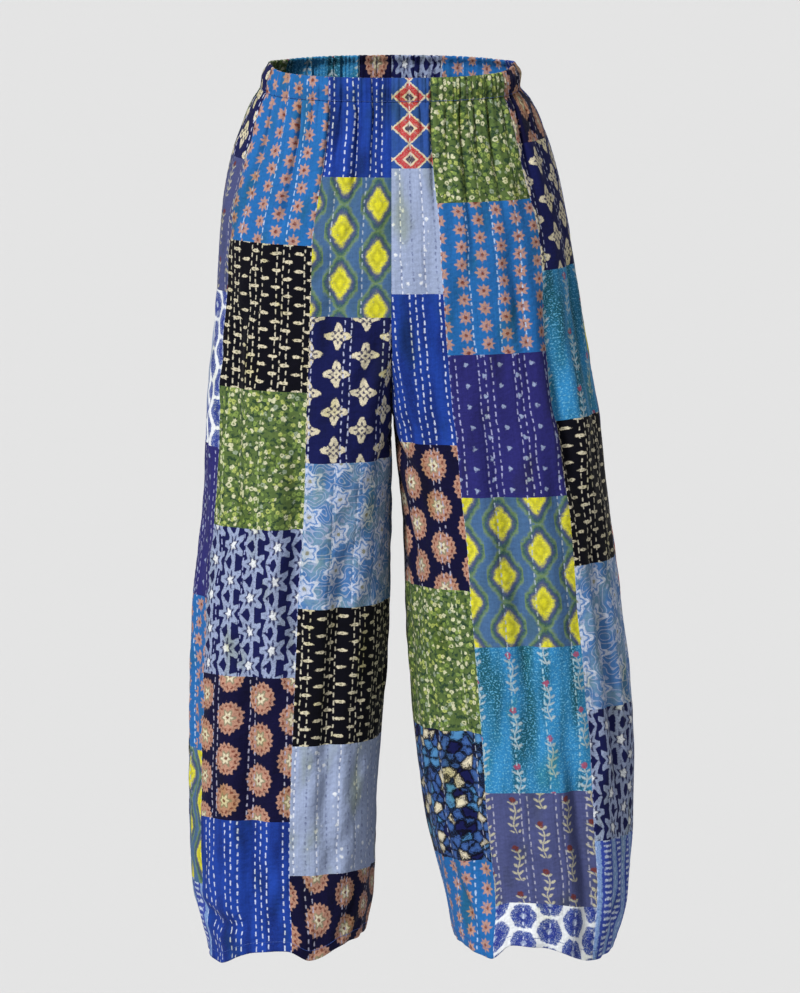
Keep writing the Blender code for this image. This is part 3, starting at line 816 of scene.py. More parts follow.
# %% Running stitches
STITCH_PITCH_MM = 8.6
SHORTEST_STITCH_MM = 3.2
STITCH_SPREAD_MM = 2.8       # how much longer the longest stitches are
STITCH_WIDTH_MM = 1.45
ROW_PITCH_MM = 7.4
ROW_SHIFT_MM = 2.9           # the rows of a group aren't in step
HAND_WOBBLE_MM = 0.9         # and no stitch sits quite on its row
STITCH_RAGGED_MM = 1.8
SOFT_SIDE_MM, SOFT_END_MM = 0.4, 0.6   # how softly a stitch's sides and ends fade

Stitching = namedtuple("Stitching", "rows group ink")   # rows in a group, group pitch in mm


def running_stitches(cloth, stitching):
    """A mask of stitches in groups of rows, and the distance to the nearest row."""
    tree = cloth.tree
    half_group = stitching.group / 2
    in_group = add_node(tree, MATH, {0: cloth.across, 1: half_group, 2: -half_group}, operation="WRAP")
    row = add_node(tree, MATH, {0: in_group, 1: ROW_PITCH_MM}, operation="DIVIDE")
    whole = add_node(tree, MATH, {0: row}, operation="ROUND")
    row = add_node(tree, "ShaderNodeClamp", {"Value": whole, "Min": float(-((stitching.rows - 1) // 2)),
                                           "Max": float(stitching.rows // 2)})
    off = add_node(tree, MATH, {0: row, 1: -ROW_PITCH_MM, 2: in_group}, operation="MULTIPLY_ADD")
    off_row = add_node(tree, MATH, {0: off}, operation="ABSOLUTE")

    row_place = add_node(tree, MATH, {0: cloth.across, 1: off}, operation="SUBTRACT")
    down = add_node(tree, MATH, {0: row, 1: ROW_SHIFT_MM, 2: cloth.down}, operation="MULTIPLY_ADD")
    half = STITCH_PITCH_MM / 2
    in_stitch = add_node(tree, MATH, {0: down, 1: half, 2: -half}, operation="WRAP")
    stitch_place = add_node(tree, MATH, {0: down, 1: in_stitch}, operation="SUBTRACT")
    both = add_node(tree, "ShaderNodeCombineXYZ", {0: row_place, 1: stitch_place})
    number = add_node(tree, VECTOR_MATH, {0: both}, operation="FLOOR")
    hand = add_node(tree, "ShaderNodeTexWhiteNoise", {"Vector": number}).node.outputs
    chance = add_node(tree, "ShaderNodeSeparateXYZ", {0: hand["Color"]}).node.outputs

    nudge = add_node(tree, MATH, {0: chance[0], 1: 0.5}, operation="SUBTRACT")
    off = add_node(tree, MATH, {0: nudge, 1: HAND_WOBBLE_MM, 2: off}, operation="MULTIPLY_ADD")
    off = add_node(tree, MATH, {0: off}, operation="ABSOLUTE")
    off_stitch = add_node(tree, MATH, {0: in_stitch}, operation="ABSOLUTE")
    off_stitch = add_node(tree, MATH, {0: chance[1], 1: -STITCH_SPREAD_MM / 2, 2: off_stitch},
                          operation="MULTIPLY_ADD")
    on_row = printed(cloth, off, STITCH_WIDTH_MM / 2, SOFT_SIDE_MM, STITCH_RAGGED_MM)
    on_stitch = printed(cloth, off_stitch, SHORTEST_STITCH_MM / 2, SOFT_END_MM, STITCH_RAGGED_MM)
    mask = add_node(tree, MATH, {0: on_row, 1: on_stitch}, operation="MULTIPLY")
    return mask, off_row


# %% [markdown]
# The cloth itself is a light slubby cotton. Its threads are about 0.3 mm apart, too fine to
# show, so what the eye sees is drawn coarser: streaks of thicker thread some 1.6 mm wide and
# several centimetres long, a little uneven colour from washing, and the small puckers that
# quilting leaves, about 6 mm apart. Cotton is matte, with a faint sheen from loose fibres.

# %% How the cotton is worn and dyed
THREAD_MM = 1.3              # drawn four times as coarse as it is, so that it shows
SLUB_WIDTH_MM, SLUB_LENGTH_MM = 1.6, 38.0
SLUB_CONTRAST = 0.34
WASH_SIZE_MM = 46.0
WASH_CONTRAST = 0.20
MOTTLE_SIZE_MM = 3.4
MOTTLE_CONTRAST = 0.34
BLOCK_WANDER_SIZE_MM = 26.0  # the printer's blocks never land quite square
BLOCK_WANDER_MM = 3.6
INK_DEPTH = 0.72             # the light is strong, so the dyes are deeper than they look
THINNEST_INK = 0.60          # how much of an ink shows where the cloth takes up least
THIN_THREADS = (0.36, 0.54)  # noise that takes up least, and that takes it up in full
RUBBED_INK = 0.45            # how much is left where the print has rubbed off
RUBBED_SPOTS = (0.56, 0.68)  # noise where the rubbing starts, and where it is worst
PAINTED_OLIVE_SHADE = (0.84, 0.84, 0.60)   # painted olive shade: some places darker and browner, in long soft patches
PAINTED_SHADE_WIDTH_MM, PAINTED_SHADE_LENGTH_MM = 34.0, 90.0
PAINTED_SHADE_PATCHES = (0.50, 0.72)
PUCKER_ACROSS_MM, PUCKER_DOWN_MM = 7.0, 5.0
PUCKER_RELIEF = 0.0013
SLUB_RELIEF = 0.00022
STITCH_RELIEF = 0.00045
COTTON_ROUGHNESS = 0.86
COTTON_SHEEN = 0.02
COTTON_SPECULAR = 0.08


def new_material(name):
    """A material with nodes, its tree and its shader."""
    material = bpy.data.materials.new(name)
    material.use_nodes = True
    return material, material.node_tree, material.node_tree.nodes["Principled BSDF"]


def streaks(tree, place, width_mm, length_mm, detail):
    """Soft noise that is drawn out down the cloth."""
    drawn_out = add_node(tree, VECTOR_MATH, {0: place, 1: (1 / width_mm, 1 / length_mm, 0.0)},
                         operation="MULTIPLY")
    return add_node(tree, "ShaderNodeTexNoise", {"Vector": drawn_out, "Scale": 1.0, "Detail": detail})


def laid_out(tree, flat_mm):
    """The cloth as a print meets it: where its blocks land, and how well it takes the ink."""
    wander = add_node(tree, "ShaderNodeTexNoise",
                      {"Vector": flat_mm, "Scale": 1 / BLOCK_WANDER_SIZE_MM, "Detail": 3.0,
                       "Roughness": 0.6}, output=1)
    centred = add_node(tree, VECTOR_MATH, {0: wander, 1: (0.5, 0.5, 0.5)}, operation="SUBTRACT")
    place = add_node(tree, VECTOR_MATH,
                     {0: centred, 1: (BLOCK_WANDER_MM, BLOCK_WANDER_MM, 0.0), 2: flat_mm},
                     operation="MULTIPLY_ADD")
    across, down, _ = add_node(tree, "ShaderNodeSeparateXYZ", {0: place}).node.outputs
    thread = add_node(tree, "ShaderNodeTexNoise",
                      {"Vector": flat_mm, "Scale": 1 / THREAD_MM, "Detail": 2.0, "Roughness": 0.65})
    rough = add_node(tree, "ShaderNodeTexNoise",
                     {"Vector": flat_mm, "Scale": 1 / RAGGED_SIZE_MM, "Detail": 3.0, "Roughness": 0.75})
    ragged = add_node(tree, MATH, {0: rough, 1: 0.5}, operation="SUBTRACT")
    thin = add_node(tree, "ShaderNodeMapRange",
                    {"Value": thread, "From Min": THIN_THREADS[0], "From Max": THIN_THREADS[1],
                     "To Min": THINNEST_INK, "To Max": 1.0})
    rubbed = add_node(tree, "ShaderNodeMapRange",
                      {"Value": rough, "From Min": RUBBED_SPOTS[0], "From Max": RUBBED_SPOTS[1],
                       "To Min": 1.0, "To Max": RUBBED_INK})
    cover = add_node(tree, MATH, {0: thin, 1: rubbed}, operation="MULTIPLY")
    return Cloth(tree, place, across, down, ragged, cover)


# %% Wash, mottle and painted shade


def worn_with_painted_shade(tree, flat_mm, colour, slub):
    """A colour with slubs, washed and mottled unevenly, with painted olive shade in long soft patches."""
    wash = add_node(tree, "ShaderNodeTexNoise",
                    {"Vector": flat_mm, "Scale": 1 / WASH_SIZE_MM, "Detail": 3.0})
    mottle = add_node(tree, "ShaderNodeTexNoise",
                      {"Vector": flat_mm, "Scale": 1 / MOTTLE_SIZE_MM, "Detail": 2.0})
    # Painted shade: long soft patches at random places are made darker and browner, an olive shade.
    stain = streaks(tree, flat_mm, PAINTED_SHADE_WIDTH_MM, PAINTED_SHADE_LENGTH_MM, 3.0)
    painted_shade_mask = add_node(tree, "ShaderNodeMapRange",
                       {"Value": stain, "From Min": PAINTED_SHADE_PATCHES[0], "From Max": PAINTED_SHADE_PATCHES[1]},
                       interpolation_type="SMOOTHSTEP")
    painted_shade_colour = add_node(tree, VECTOR_MATH, {0: colour, 1: PAINTED_OLIVE_SHADE}, operation="MULTIPLY")
    colour = add_node(tree, "ShaderNodeMix", {MIX_FACTOR: painted_shade_mask, MIX_A: colour, MIX_B: painted_shade_colour},
                      output=MIX_RESULT, data_type="RGBA")
    for noise, contrast in ((slub, SLUB_CONTRAST), (wash, WASH_CONTRAST), (mottle, MOTTLE_CONTRAST)):
        tone = add_node(tree, MATH, {0: noise, 1: contrast, 2: 1 - contrast / 2},
                        operation="MULTIPLY_ADD")
        colour = add_node(tree, VECTOR_MATH, {0: colour, "Scale": tone}, operation="SCALE")
    return add_node(tree, VECTOR_MATH, {0: colour, "Scale": INK_DEPTH}, operation="SCALE")


# %% Cotton with a print


def cotton(name, draw, stitching):
    """A printed cotton: draw gives the colour of the print, and stitches go over it."""
    material, tree, shader = new_material(name)
    flat = add_node(tree, "ShaderNodeUVMap", uv_map=CLOTH_MAP)
    flat_mm = add_node(tree, VECTOR_MATH, {0: flat, "Scale": MM_PER_M}, operation="SCALE")
    cloth = laid_out(tree, flat_mm)
    stitches, off_row = running_stitches(cloth, stitching)
    colour = lay(cloth, draw(cloth), stitching.ink, stitches)
    slub = streaks(tree, flat_mm, SLUB_WIDTH_MM, SLUB_LENGTH_MM, 2.0)
    tree.links.new(worn_with_painted_shade(tree, flat_mm, colour, slub), shader.inputs["Base Color"])

    pucker = streaks(tree, flat_mm, PUCKER_ACROSS_MM, PUCKER_DOWN_MM, 1.5)
    rise = add_node(tree, "ShaderNodeMapRange",
                    {"Value": off_row, "From Min": 0.0, "From Max": ROW_PITCH_MM / 2,
                     "To Min": 0.0, "To Max": STITCH_RELIEF}, interpolation_type="SMOOTHSTEP")
    height = add_node(tree, MATH, {0: pucker, 1: PUCKER_RELIEF, 2: rise}, operation="MULTIPLY_ADD")
    height = add_node(tree, MATH, {0: slub, 1: SLUB_RELIEF, 2: height}, operation="MULTIPLY_ADD")
    bump = add_node(tree, "ShaderNodeBump", {"Height": height, "Distance": 1.0, "Strength": 1.0})
    tree.links.new(bump, shader.inputs["Normal"])
    shader.inputs["Roughness"].default_value = COTTON_ROUGHNESS
    shader.inputs["Sheen Weight"].default_value = COTTON_SHEEN
    shader.inputs["Specular IOR Level"].default_value = COTTON_SPECULAR
    return material


# %% [markdown]
# ## Block-printed repeats
#
# Many folk prints are one round motif repeated in a half-drop: every second column starts
# half a step lower. The motif is built up as a printer would, from the largest block to the
# smallest, each an ink whose outline is a circle with petals. One function draws them all,
# and a table gives the blocks of each print.

# %% Half-drop repeats
Block = namedtuple("Block", "edge petals lobe colour")   # edge in mm, lobe as a share of it


def half_drop(cloth, across_mm, down_mm):
    """Where a place lies in its repeat, in mm across and down from the middle."""
    tree = cloth.tree
    column = add_node(tree, MATH, {0: cloth.across, 1: 1 / across_mm, 2: 0.5}, operation="MULTIPLY_ADD")
    number = add_node(tree, MATH, {0: column}, operation="FLOOR")
    odd = add_node(tree, MATH, {0: number, 1: 2.0}, operation="FLOORED_MODULO")
    x = add_node(tree, MATH, {0: cloth.across, 1: across_mm / 2, 2: -across_mm / 2}, operation="WRAP")
    dropped = add_node(tree, MATH, {0: odd, 1: down_mm / 2, 2: cloth.down}, operation="MULTIPLY_ADD")
    y = add_node(tree, MATH, {0: dropped, 1: down_mm / 2, 2: -down_mm / 2}, operation="WRAP")
    return x, y


def apart(tree, x, y):
    """The length of a step across and down."""
    step = add_node(tree, "ShaderNodeCombineXYZ", {0: x, 1: y})
    return add_node(tree, VECTOR_MATH, {0: step}, output=1, operation="LENGTH")


def lay_blocks(cloth, colour, across_mm, down_mm, squeeze, blocks, soft=SOFT_EDGE_MM):
    """Lay a motif of blocks over a colour, in a half-drop repeat."""
    tree = cloth.tree
    x, y = half_drop(cloth, across_mm, down_mm)
    y = add_node(tree, MATH, {0: y, 1: squeeze}, operation="MULTIPLY")
    distance = apart(tree, x, y)
    angle = add_node(tree, MATH, {0: y, 1: x}, operation="ARCTAN2")
    for block in blocks:
        turned = add_node(tree, MATH, {0: angle, 1: float(block.petals)}, operation="MULTIPLY")
        wave = add_node(tree, MATH, {0: turned}, operation="COSINE")
        stretch = add_node(tree, MATH, {0: wave, 1: -block.lobe, 2: 1.0}, operation="MULTIPLY_ADD")
        reach = add_node(tree, MATH, {0: distance, 1: stretch}, operation="MULTIPLY")
        colour = lay(cloth, colour, block.colour, printed(cloth, reach, block.edge, soft))
    return colour


Repeat = namedtuple("Repeat", "ground across down squeeze blocks soft")
REPEATS = {
    "sky_daisies": Repeat(BLUE, 23.0, 19.5, 1.0, (
        Block(6.2, 8, 0.22, TAN), Block(1.9, 6, 0.1, RUST)), 1.0),
    "navy_stars": Repeat(NAVY, 31.0, 42.0, 1.0, (
        Block(10.5, 4, 0.30, CREAM), Block(6.4, 8, 0.26, NAVY), Block(4.2, 4, 0.22, CREAM),
        Block(1.3, 4, 0.0, NAVY)), 0.7),
    "tan_wheels": Repeat(MIDNIGHT, 37.0, 46.0, 0.86, (
        Block(15.0, 18, 0.06, TAN), Block(12.2, 18, 0.05, RUST), Block(11.0, 12, 0.10, TAN),
        Block(6.6, 6, 0.24, KHAKI), Block(4.4, 6, 0.26, CREAM), Block(1.7, 6, 0.0, RUST)), 0.8),
    "citron_ikat": Repeat(ink("#44648c"), 40.0, 58.0, 0.68, (
        Block(18.8, 4, 0.13, LIME), Block(16.8, 4, 0.12, PINE), Block(14.6, 4, 0.10, SLATE),
        Block(10.4, 4, 0.12, YELLOW), Block(6.2, 4, 0.12, OLIVE_YELLOW),
        Block(3.4, 4, 0.1, YELLOW)), 2.4),
    "violet_spots": Repeat(ink("#29286a"), 19.0, 23.0, 1.0, (
        Block(2.2, 3, 0.18, LAVENDER),), 0.8),
    "cobalt_scales": Repeat(WHITE, 30.0, 33.0, 0.95, (
        Block(14.4, 6, 0.05, COBALT), Block(8.6, 6, 0.12, ROYAL), Block(3.0, 6, 0.1, LAVENDER)), 1.0),
    "navy_blossom": Repeat(NAVY, 27.0, 38.0, 0.72, (
        Block(11.4, 7, 0.34, LAVENDER), Block(5.4, 7, 0.30, NAVY), Block(3.2, 5, 0.2, WHITE)), 0.9),
    "black_seeds": Repeat(INK_BLACK, 14.0, 19.0, 1.5, (
        Block(3.4, 2, 0.34, CREAM), Block(1.2, 2, 0.0, KHAKI)), 0.7),
}


def repeat_drawer(repeat):
    def draw(cloth):
        return lay_blocks(cloth, *repeat)
    return draw


print(len(REPEATS), "prints of blocks")

# %% [markdown]
# ## Prints with a rule of their own
#
# The other prints need more than blocks in a half-drop. Tiny scattered blossoms and pebbles
# come from a Voronoi texture, which scatters points and says how far the nearest is. Tendrils
# are the contour lines of a noise. Lattices and ladders are a few lines of arithmetic on the
# two directions.

# %% Scattered blossoms and pebbles


def picked(cloth, cells, picks):
    """One of several inks for each cell: each from its own share of the random values."""
    chance = add_node(cloth.tree, "ShaderNodeSeparateXYZ", {0: cells.outputs["Color"]})
    ramp_node = add_node(cloth.tree, "ShaderNodeValToRGB", {0: chance}).node
    ramp = ramp_node.color_ramp
    ramp.interpolation = "CONSTANT"
    for number, (share, colour) in enumerate(picks):
        stop = ramp.elements[number] if number < len(ramp.elements) else ramp.elements.new(share)
        stop.position, stop.color = share, colour
    return ramp_node.outputs[0]


def lime_ditsy(cloth):
    """Small pale and lime blossoms, close together on two moss greens."""
    tree = cloth.tree
    bed_mm, blossom_mm = 5.0, 5.8
    bed = add_node(tree, "ShaderNodeTexNoise",
                   {"Vector": cloth.place, "Scale": 1 / bed_mm, "Detail": 2.0})
    colour = lay(cloth, MOSS, ink("#263d2e"), below(cloth, bed, edge=0.45, soft=0.03))
    cells = add_node(tree, "ShaderNodeTexVoronoi", {"Vector": cloth.place, "Scale": 1 / blossom_mm}).node
    petals = picked(cloth, cells, ((0.0, LIME), (0.30, ink("#d3d2ae")), (0.62, ink("#adb865")),
                                   (0.86, ink("#93a08a"))))
    away = add_node(tree, MATH, {0: cells.outputs["Distance"], 1: blossom_mm}, operation="MULTIPLY")
    colour = lay(cloth, colour, petals, printed(cloth, away, edge=2.5, soft=0.5))
    return lay(cloth, colour, MOSS, printed(cloth, away, edge=0.75, soft=0.3))


def navy_pebbles(cloth):
    """Blue and cream pebbles between black lines."""
    tree = cloth.tree
    pebble_mm = 12.0
    cells = add_node(tree, "ShaderNodeTexVoronoi", {"Vector": cloth.place, "Scale": 1 / pebble_mm}).node
    edges = add_node(tree, "ShaderNodeTexVoronoi", {"Vector": cloth.place, "Scale": 1 / pebble_mm},
                     feature="DISTANCE_TO_EDGE")
    pebbles = picked(cloth, cells, ((0.0, ink("#3d5f9b")), (0.55, NAVY), (0.72, CREAM), (0.84, SKY)))
    inside = add_node(tree, MATH, {0: edges, 1: pebble_mm}, operation="MULTIPLY")
    colour = lay(cloth, pebbles, NAVY, printed(cloth, inside, edge=2.4, soft=0.4))
    colour = lay(cloth, colour, pebbles, printed(cloth, inside, edge=1.9, soft=0.3))
    return lay(cloth, colour, INK_BLACK, printed(cloth, inside, edge=1.25, soft=0.3))


# %% Tendrils and blooms
BLOOM = (Block(11.5, 5, 0.26, ink("#c4cbdc")), Block(8.6, 5, 0.24, ink("#4a78b4")),
         Block(6.4, 5, 0.22, ink("#bcc6da")), Block(2.2, 5, 0.0, KHAKI))


def tangle(cloth, size_mm, lines, width):
    """A mask of lines that wander like tendrils: the contour lines of a hilly noise."""
    tree = cloth.tree
    hills = add_node(tree, "ShaderNodeTexNoise",
                     {"Vector": cloth.place, "Scale": 1 / size_mm, "Detail": 0.0})
    steps = add_node(tree, MATH, {0: hills, 1: lines}, operation="MULTIPLY")
    step = add_node(tree, MATH, {0: steps}, operation="FRACT")
    off = add_node(tree, MATH, {0: step, 1: 0.5}, operation="SUBTRACT")
    off = add_node(tree, MATH, {0: off}, operation="ABSOLUTE")
    return add_node(tree, MATH, {0: off, 1: width}, operation="LESS_THAN")


def sky_trellis(cloth):
    """Pale tendrils and blooms on a soft blue."""
    cloud_mm = 30.0
    clouds = add_node(cloth.tree, "ShaderNodeTexNoise",
                      {"Vector": cloth.place, "Scale": 1 / cloud_mm, "Detail": 2.0})
    ground = lay(cloth, ink("#4a76ae"), ink("#6f90a8"), below(cloth, clouds, edge=0.48, soft=0.08))
    colour = lay(cloth, ground, LAVENDER, tangle(cloth, size_mm=15.0, lines=7.0, width=0.13))
    return lay_blocks(cloth, colour, across_mm=34.0, down_mm=40.0, squeeze=1.0, blocks=BLOOM)


# %% Lattice, ladder and lines


def off_line(cloth, value, pitch_mm):
    """The distance in mm to the nearest of many lines, a pitch apart."""
    half = pitch_mm / 2
    off = add_node(cloth.tree, MATH, {0: value, 1: half, 2: -half}, operation="WRAP")
    return add_node(cloth.tree, MATH, {0: off}, operation="ABSOLUTE")


def red_lattice(cloth):
    """Madder lozenges in a cream lattice, with blue between them."""
    across_mm, down_mm, line_mm = 44.0, 34.0, 1.6
    inner_share, middle_share = 0.46, 0.30
    x = off_line(cloth, cloth.across, across_mm)
    y = off_line(cloth, cloth.down, down_mm)
    steep = add_node(cloth.tree, MATH, {0: y, 1: across_mm / down_mm, 2: x}, operation="MULTIPLY_ADD")
    edge = across_mm / 2
    colour = lay(cloth, ink("#2d4f96"), CREAM, printed(cloth, steep, edge + line_mm))
    colour = lay(cloth, colour, MADDER, printed(cloth, steep, edge - line_mm))
    colour = lay(cloth, colour, CREAM, printed(cloth, steep, edge * inner_share))
    return lay(cloth, colour, NAVY, printed(cloth, steep, edge * middle_share))


def blue_ladder(cloth):
    """Pale bands beside navy ones that carry white rungs."""
    tree = cloth.tree
    band_mm, rung_mm, inset_mm = 27.0, 6.2, 1.6
    x = off_line(cloth, cloth.across, band_mm)
    y = off_line(cloth, cloth.down, rung_mm)
    colour = lay(cloth, ink("#34479c"), ink("#7f9bc6"), printed(cloth, x, edge=5.0))
    away = add_node(tree, MATH, {0: x, 1: band_mm / 2 - inset_mm}, operation="SUBTRACT")
    away = add_node(tree, MATH, {0: away}, operation="ABSOLUTE")
    rungs = add_node(tree, MATH, {0: printed(cloth, away, edge=3.6), 1: printed(cloth, y, edge=1.2)},
                     operation="MULTIPLY")
    return lay(cloth, colour, ink("#c3cfe2"), rungs)


def lavender_seeds(cloth):
    """White seeds and grey dashes on pale lavender."""
    tree = cloth.tree
    seed_mm, column_mm, dash_mm = 11.0, 13.0, 7.2
    seeds = add_node(tree, "ShaderNodeTexVoronoi",
                     {"Vector": cloth.place, "Scale": 1 / seed_mm, "Randomness": 0.8})
    away = add_node(tree, MATH, {0: seeds, 1: seed_mm}, operation="MULTIPLY")
    column = off_line(cloth, cloth.across, column_mm)
    dash = off_line(cloth, cloth.down, dash_mm)
    dashes = add_node(tree, MATH,
                      {0: printed(cloth, column, edge=0.6), 1: printed(cloth, dash, edge=2.0)},
                      operation="MULTIPLY")
    colour = lay(cloth, LAVENDER, ink("#6c7799"), dashes)
    return lay(cloth, colour, WHITE, printed(cloth, away, edge=1.8))


def cobalt_quilting(cloth):
    """Plain cobalt, a little darker in broad vertical bands, for the stitches to show on."""
    shade = streaks(cloth.tree, cloth.place, width_mm=18.0, length_mm=90.0, detail=2.0)
    return lay(cloth, ink("#1d3f9a"), ink("#152a72"), below(cloth, shade, edge=0.48, soft=0.14))


# %% [markdown]
# A sprig is a bent stem with leaves in pairs. Each leaf is an ellipse that leans away from
# the stem: folding the cloth at the stem with an absolute value draws both leaves of a pair
# at once, and wrapping the height draws the next pair.

# %% Sprigs
SWAY, SWAY_TURN = 1.8, 0.22      # how far a stem bends, in mm, and how fast, in radians a mm
LEAF_PITCH_MM = 8.0              # from one pair of leaves to the next
LEAF_OUT_MM, LEAF_MM = 3.4, 1.6  # from the stem to a leaf's middle, and its half length
LEAF_LEAN, LEAF_SLIM = 0.75, 0.42
STEM_MM, BUD_MM = 0.7, 3.4
STEM_SHARE, BUD_SHARE = 0.33, 0.36   # how far up the repeat they reach


def sprigs(cloth, ground, leaf, bud, across_mm, down_mm):
    tree = cloth.tree
    x, y = half_drop(cloth, across_mm, down_mm)
    turn = add_node(tree, MATH, {0: y, 1: SWAY_TURN}, operation="MULTIPLY")
    sway = add_node(tree, MATH, {0: turn}, operation="SINE")
    off = add_node(tree, MATH, {0: sway, 1: SWAY, 2: x}, operation="MULTIPLY_ADD")
    off = add_node(tree, MATH, {0: off}, operation="ABSOLUTE")
    half = LEAF_PITCH_MM / 2
    pair = add_node(tree, MATH, {0: y, 1: half, 2: -half}, operation="WRAP")
    out = add_node(tree, MATH, {0: off, 1: LEAF_OUT_MM}, operation="SUBTRACT")
    lean = add_node(tree, MATH, {0: out, 1: LEAF_LEAN, 2: pair}, operation="MULTIPLY_ADD")
    wide = add_node(tree, MATH, {0: pair, 1: -LEAF_LEAN, 2: out}, operation="MULTIPLY_ADD")
    wide = add_node(tree, MATH, {0: wide, 1: LEAF_SLIM}, operation="MULTIPLY")
    height = add_node(tree, MATH, {0: y}, operation="ABSOLUTE")
    within = printed(cloth, height, down_mm * STEM_SHARE)
    colour = ground
    for away, edge, soft, rough in ((apart(tree, lean, wide), LEAF_MM, 0.7, 3.0),
                                    (off, STEM_MM, 0.6, 2.0)):
        drawn = printed(cloth, away, edge, soft, rough)
        kept = add_node(tree, MATH, {0: drawn, 1: within}, operation="MULTIPLY")
        colour = lay(cloth, colour, leaf, kept)
    top = add_node(tree, MATH, {0: y, 1: down_mm * BUD_SHARE}, operation="ADD")
    return lay(cloth, colour, bud, printed(cloth, apart(tree, off, top), BUD_MM))


def slate_sprigs(cloth):
    return sprigs(cloth, SLATE, ink("#b9b49c"), RUST, across_mm=30.0, down_mm=54.0)


def teal_sprigs(cloth):
    """Sprigs on a teal ground with a fine grain and darker bands."""
    grain_mm = 2.0
    grain = add_node(cloth.tree, "ShaderNodeTexNoise",
                     {"Vector": cloth.place, "Scale": 1 / grain_mm, "Detail": 2.0})
    bands = streaks(cloth.tree, cloth.place, width_mm=24.0, length_mm=160.0, detail=1.0)
    ground = lay(cloth, ink("#2f7fb4"), PINE, below(cloth, bands, edge=0.47, soft=0.10))
    ground = lay(cloth, ground, ink("#63a6c8"), below(cloth, grain, edge=0.42, soft=0.05))
    return sprigs(cloth, ground, ink("#a9b8bd"), ink("#a24a66"), across_mm=38.0, down_mm=62.0)


# %% [markdown]
# ## The cloths
#
# Each print becomes one cotton, and a piece wears as many as it has patches. The wrong side
# of a printed cotton is a paler, greyer ghost of the right side.

# %% All the printed cottons
REVERSE_SHADE = ink("#9fadc8")
REVERSE_STAIN = ink("#7283a8")
RULED_PRINTS = (lime_ditsy, navy_pebbles, sky_trellis, red_lattice, blue_ladder, lavender_seeds,
                cobalt_quilting, slate_sprigs, teal_sprigs)
STITCHING = {
    "sky_daisies": Stitching(1, 31.0, ink("#b4c6e2")),
    "navy_stars": Stitching(2, 43.0, ink("#b9bedb")),
    "tan_wheels": Stitching(2, 44.0, ink("#aaa7bb")),
    "citron_ikat": Stitching(1, 36.0, ink("#a5b0bd")),
    "violet_spots": Stitching(3, 40.0, ink("#a9abd0")),
    "cobalt_scales": Stitching(1, 30.0, ink("#c9d2e6")),
    "navy_blossom": Stitching(1, 33.0, ink("#9aa3cb")),
    "black_seeds": Stitching(3, 34.0, ink("#cfc8b2")),
    "lime_ditsy": Stitching(1, 52.0, ink("#b8c09a")),
    "navy_pebbles": Stitching(1, 45.0, ink("#aab4cc")),
    "sky_trellis": Stitching(1, 30.0, ink("#c3cee4")),
    "red_lattice": Stitching(1, 28.0, ink("#c8c4c8")),
    "blue_ladder": Stitching(1, 27.0, ink("#b3c2e0")),
    "lavender_seeds": Stitching(1, 26.0, ink("#dfe4f0")),
    "cobalt_quilting": Stitching(3, 33.0, ink("#ccd4ea")),
    "slate_sprigs": Stitching(2, 38.0, ink("#a3a3b4")),
    "teal_sprigs": Stitching(1, 36.0, ink("#9cc0cd")),
}
DRAWERS = {name: repeat_drawer(repeat) for name, repeat in REPEATS.items()}
DRAWERS.update((draw.__name__, draw) for draw in RULED_PRINTS)
cottons = {name: cotton("cotton_" + name, draw, STITCHING[name]) for name, draw in DRAWERS.items()}


def reverse_of_print(cloth):
    stain_mm = 14.0
    stain = add_node(cloth.tree, "ShaderNodeTexNoise",
                     {"Vector": cloth.place, "Scale": 1 / stain_mm, "Detail": 2.0})
    return lay(cloth, REVERSE_SHADE, REVERSE_STAIN, below(cloth, stain, edge=0.5, soft=0.08))


reverse_cotton = cotton("cotton_reverse", reverse_of_print, Stitching(3, 38.0, ink("#a9b2c4")))
print(len(cottons), "printed cottons and their reverse")

# %% [markdown]
# ## Cutting and lifting the cloth
#
# A printed edge must be crisp, so the mesh itself is cut along it. The cloth is first made
# flat, with its place in space stored on each point. Cuts through the flat mesh interpolate
# that stored place, so after cutting, every point is simply moved there. The flat places stay
# with the mesh as its UV map, counted from the corner of each patch.

# %% Cut and lift
CLOTH_THICKNESS = 0.0008
CUT_SNAP = 0.0003        # a cut passes through points that are as near as this
OPEN_START = -1.0        # a patch that runs off the cloth is mapped from here, in metres
PLACE = "place_in_space"


def cut_along(cloth, faces, point, normal):
    """Cut some faces of a flat mesh along a straight line."""
    edges = dict.fromkeys(edge for face in faces for edge in face.edges)
    verts = dict.fromkeys(vert for face in faces for vert in face.verts)
    bmesh.ops.bisect_plane(cloth, geom=[*verts, *edges, *faces], dist=CUT_SNAP,
                           plane_co=point, plane_no=normal)


def crossing(cloth, axis, line, low, high):
    """The faces that a line crosses, within limits along it."""
    found = []
    for face in cloth.faces:
        places = [vert.co[axis] for vert in face.verts]
        if min(places) < line - CUT_SNAP and max(places) > line + CUT_SNAP:
            middle = face.calc_center_median()[1 - axis]
            if low < middle < high:
                found.append(face)
    return found


def grid_faces(rows, columns, flip):
    """Four-sided faces of a grid, as numbers of its points, with their order flipped or not."""
    i, j = np.meshgrid(np.arange(rows - 1), np.arange(columns - 1), indexing="ij")
    corner = (i * columns + j).ravel()
    quads = np.stack((corner, corner + columns, corner + columns + 1, corner + 1), axis=1)
    return quads[:, ::-1] if flip else quads


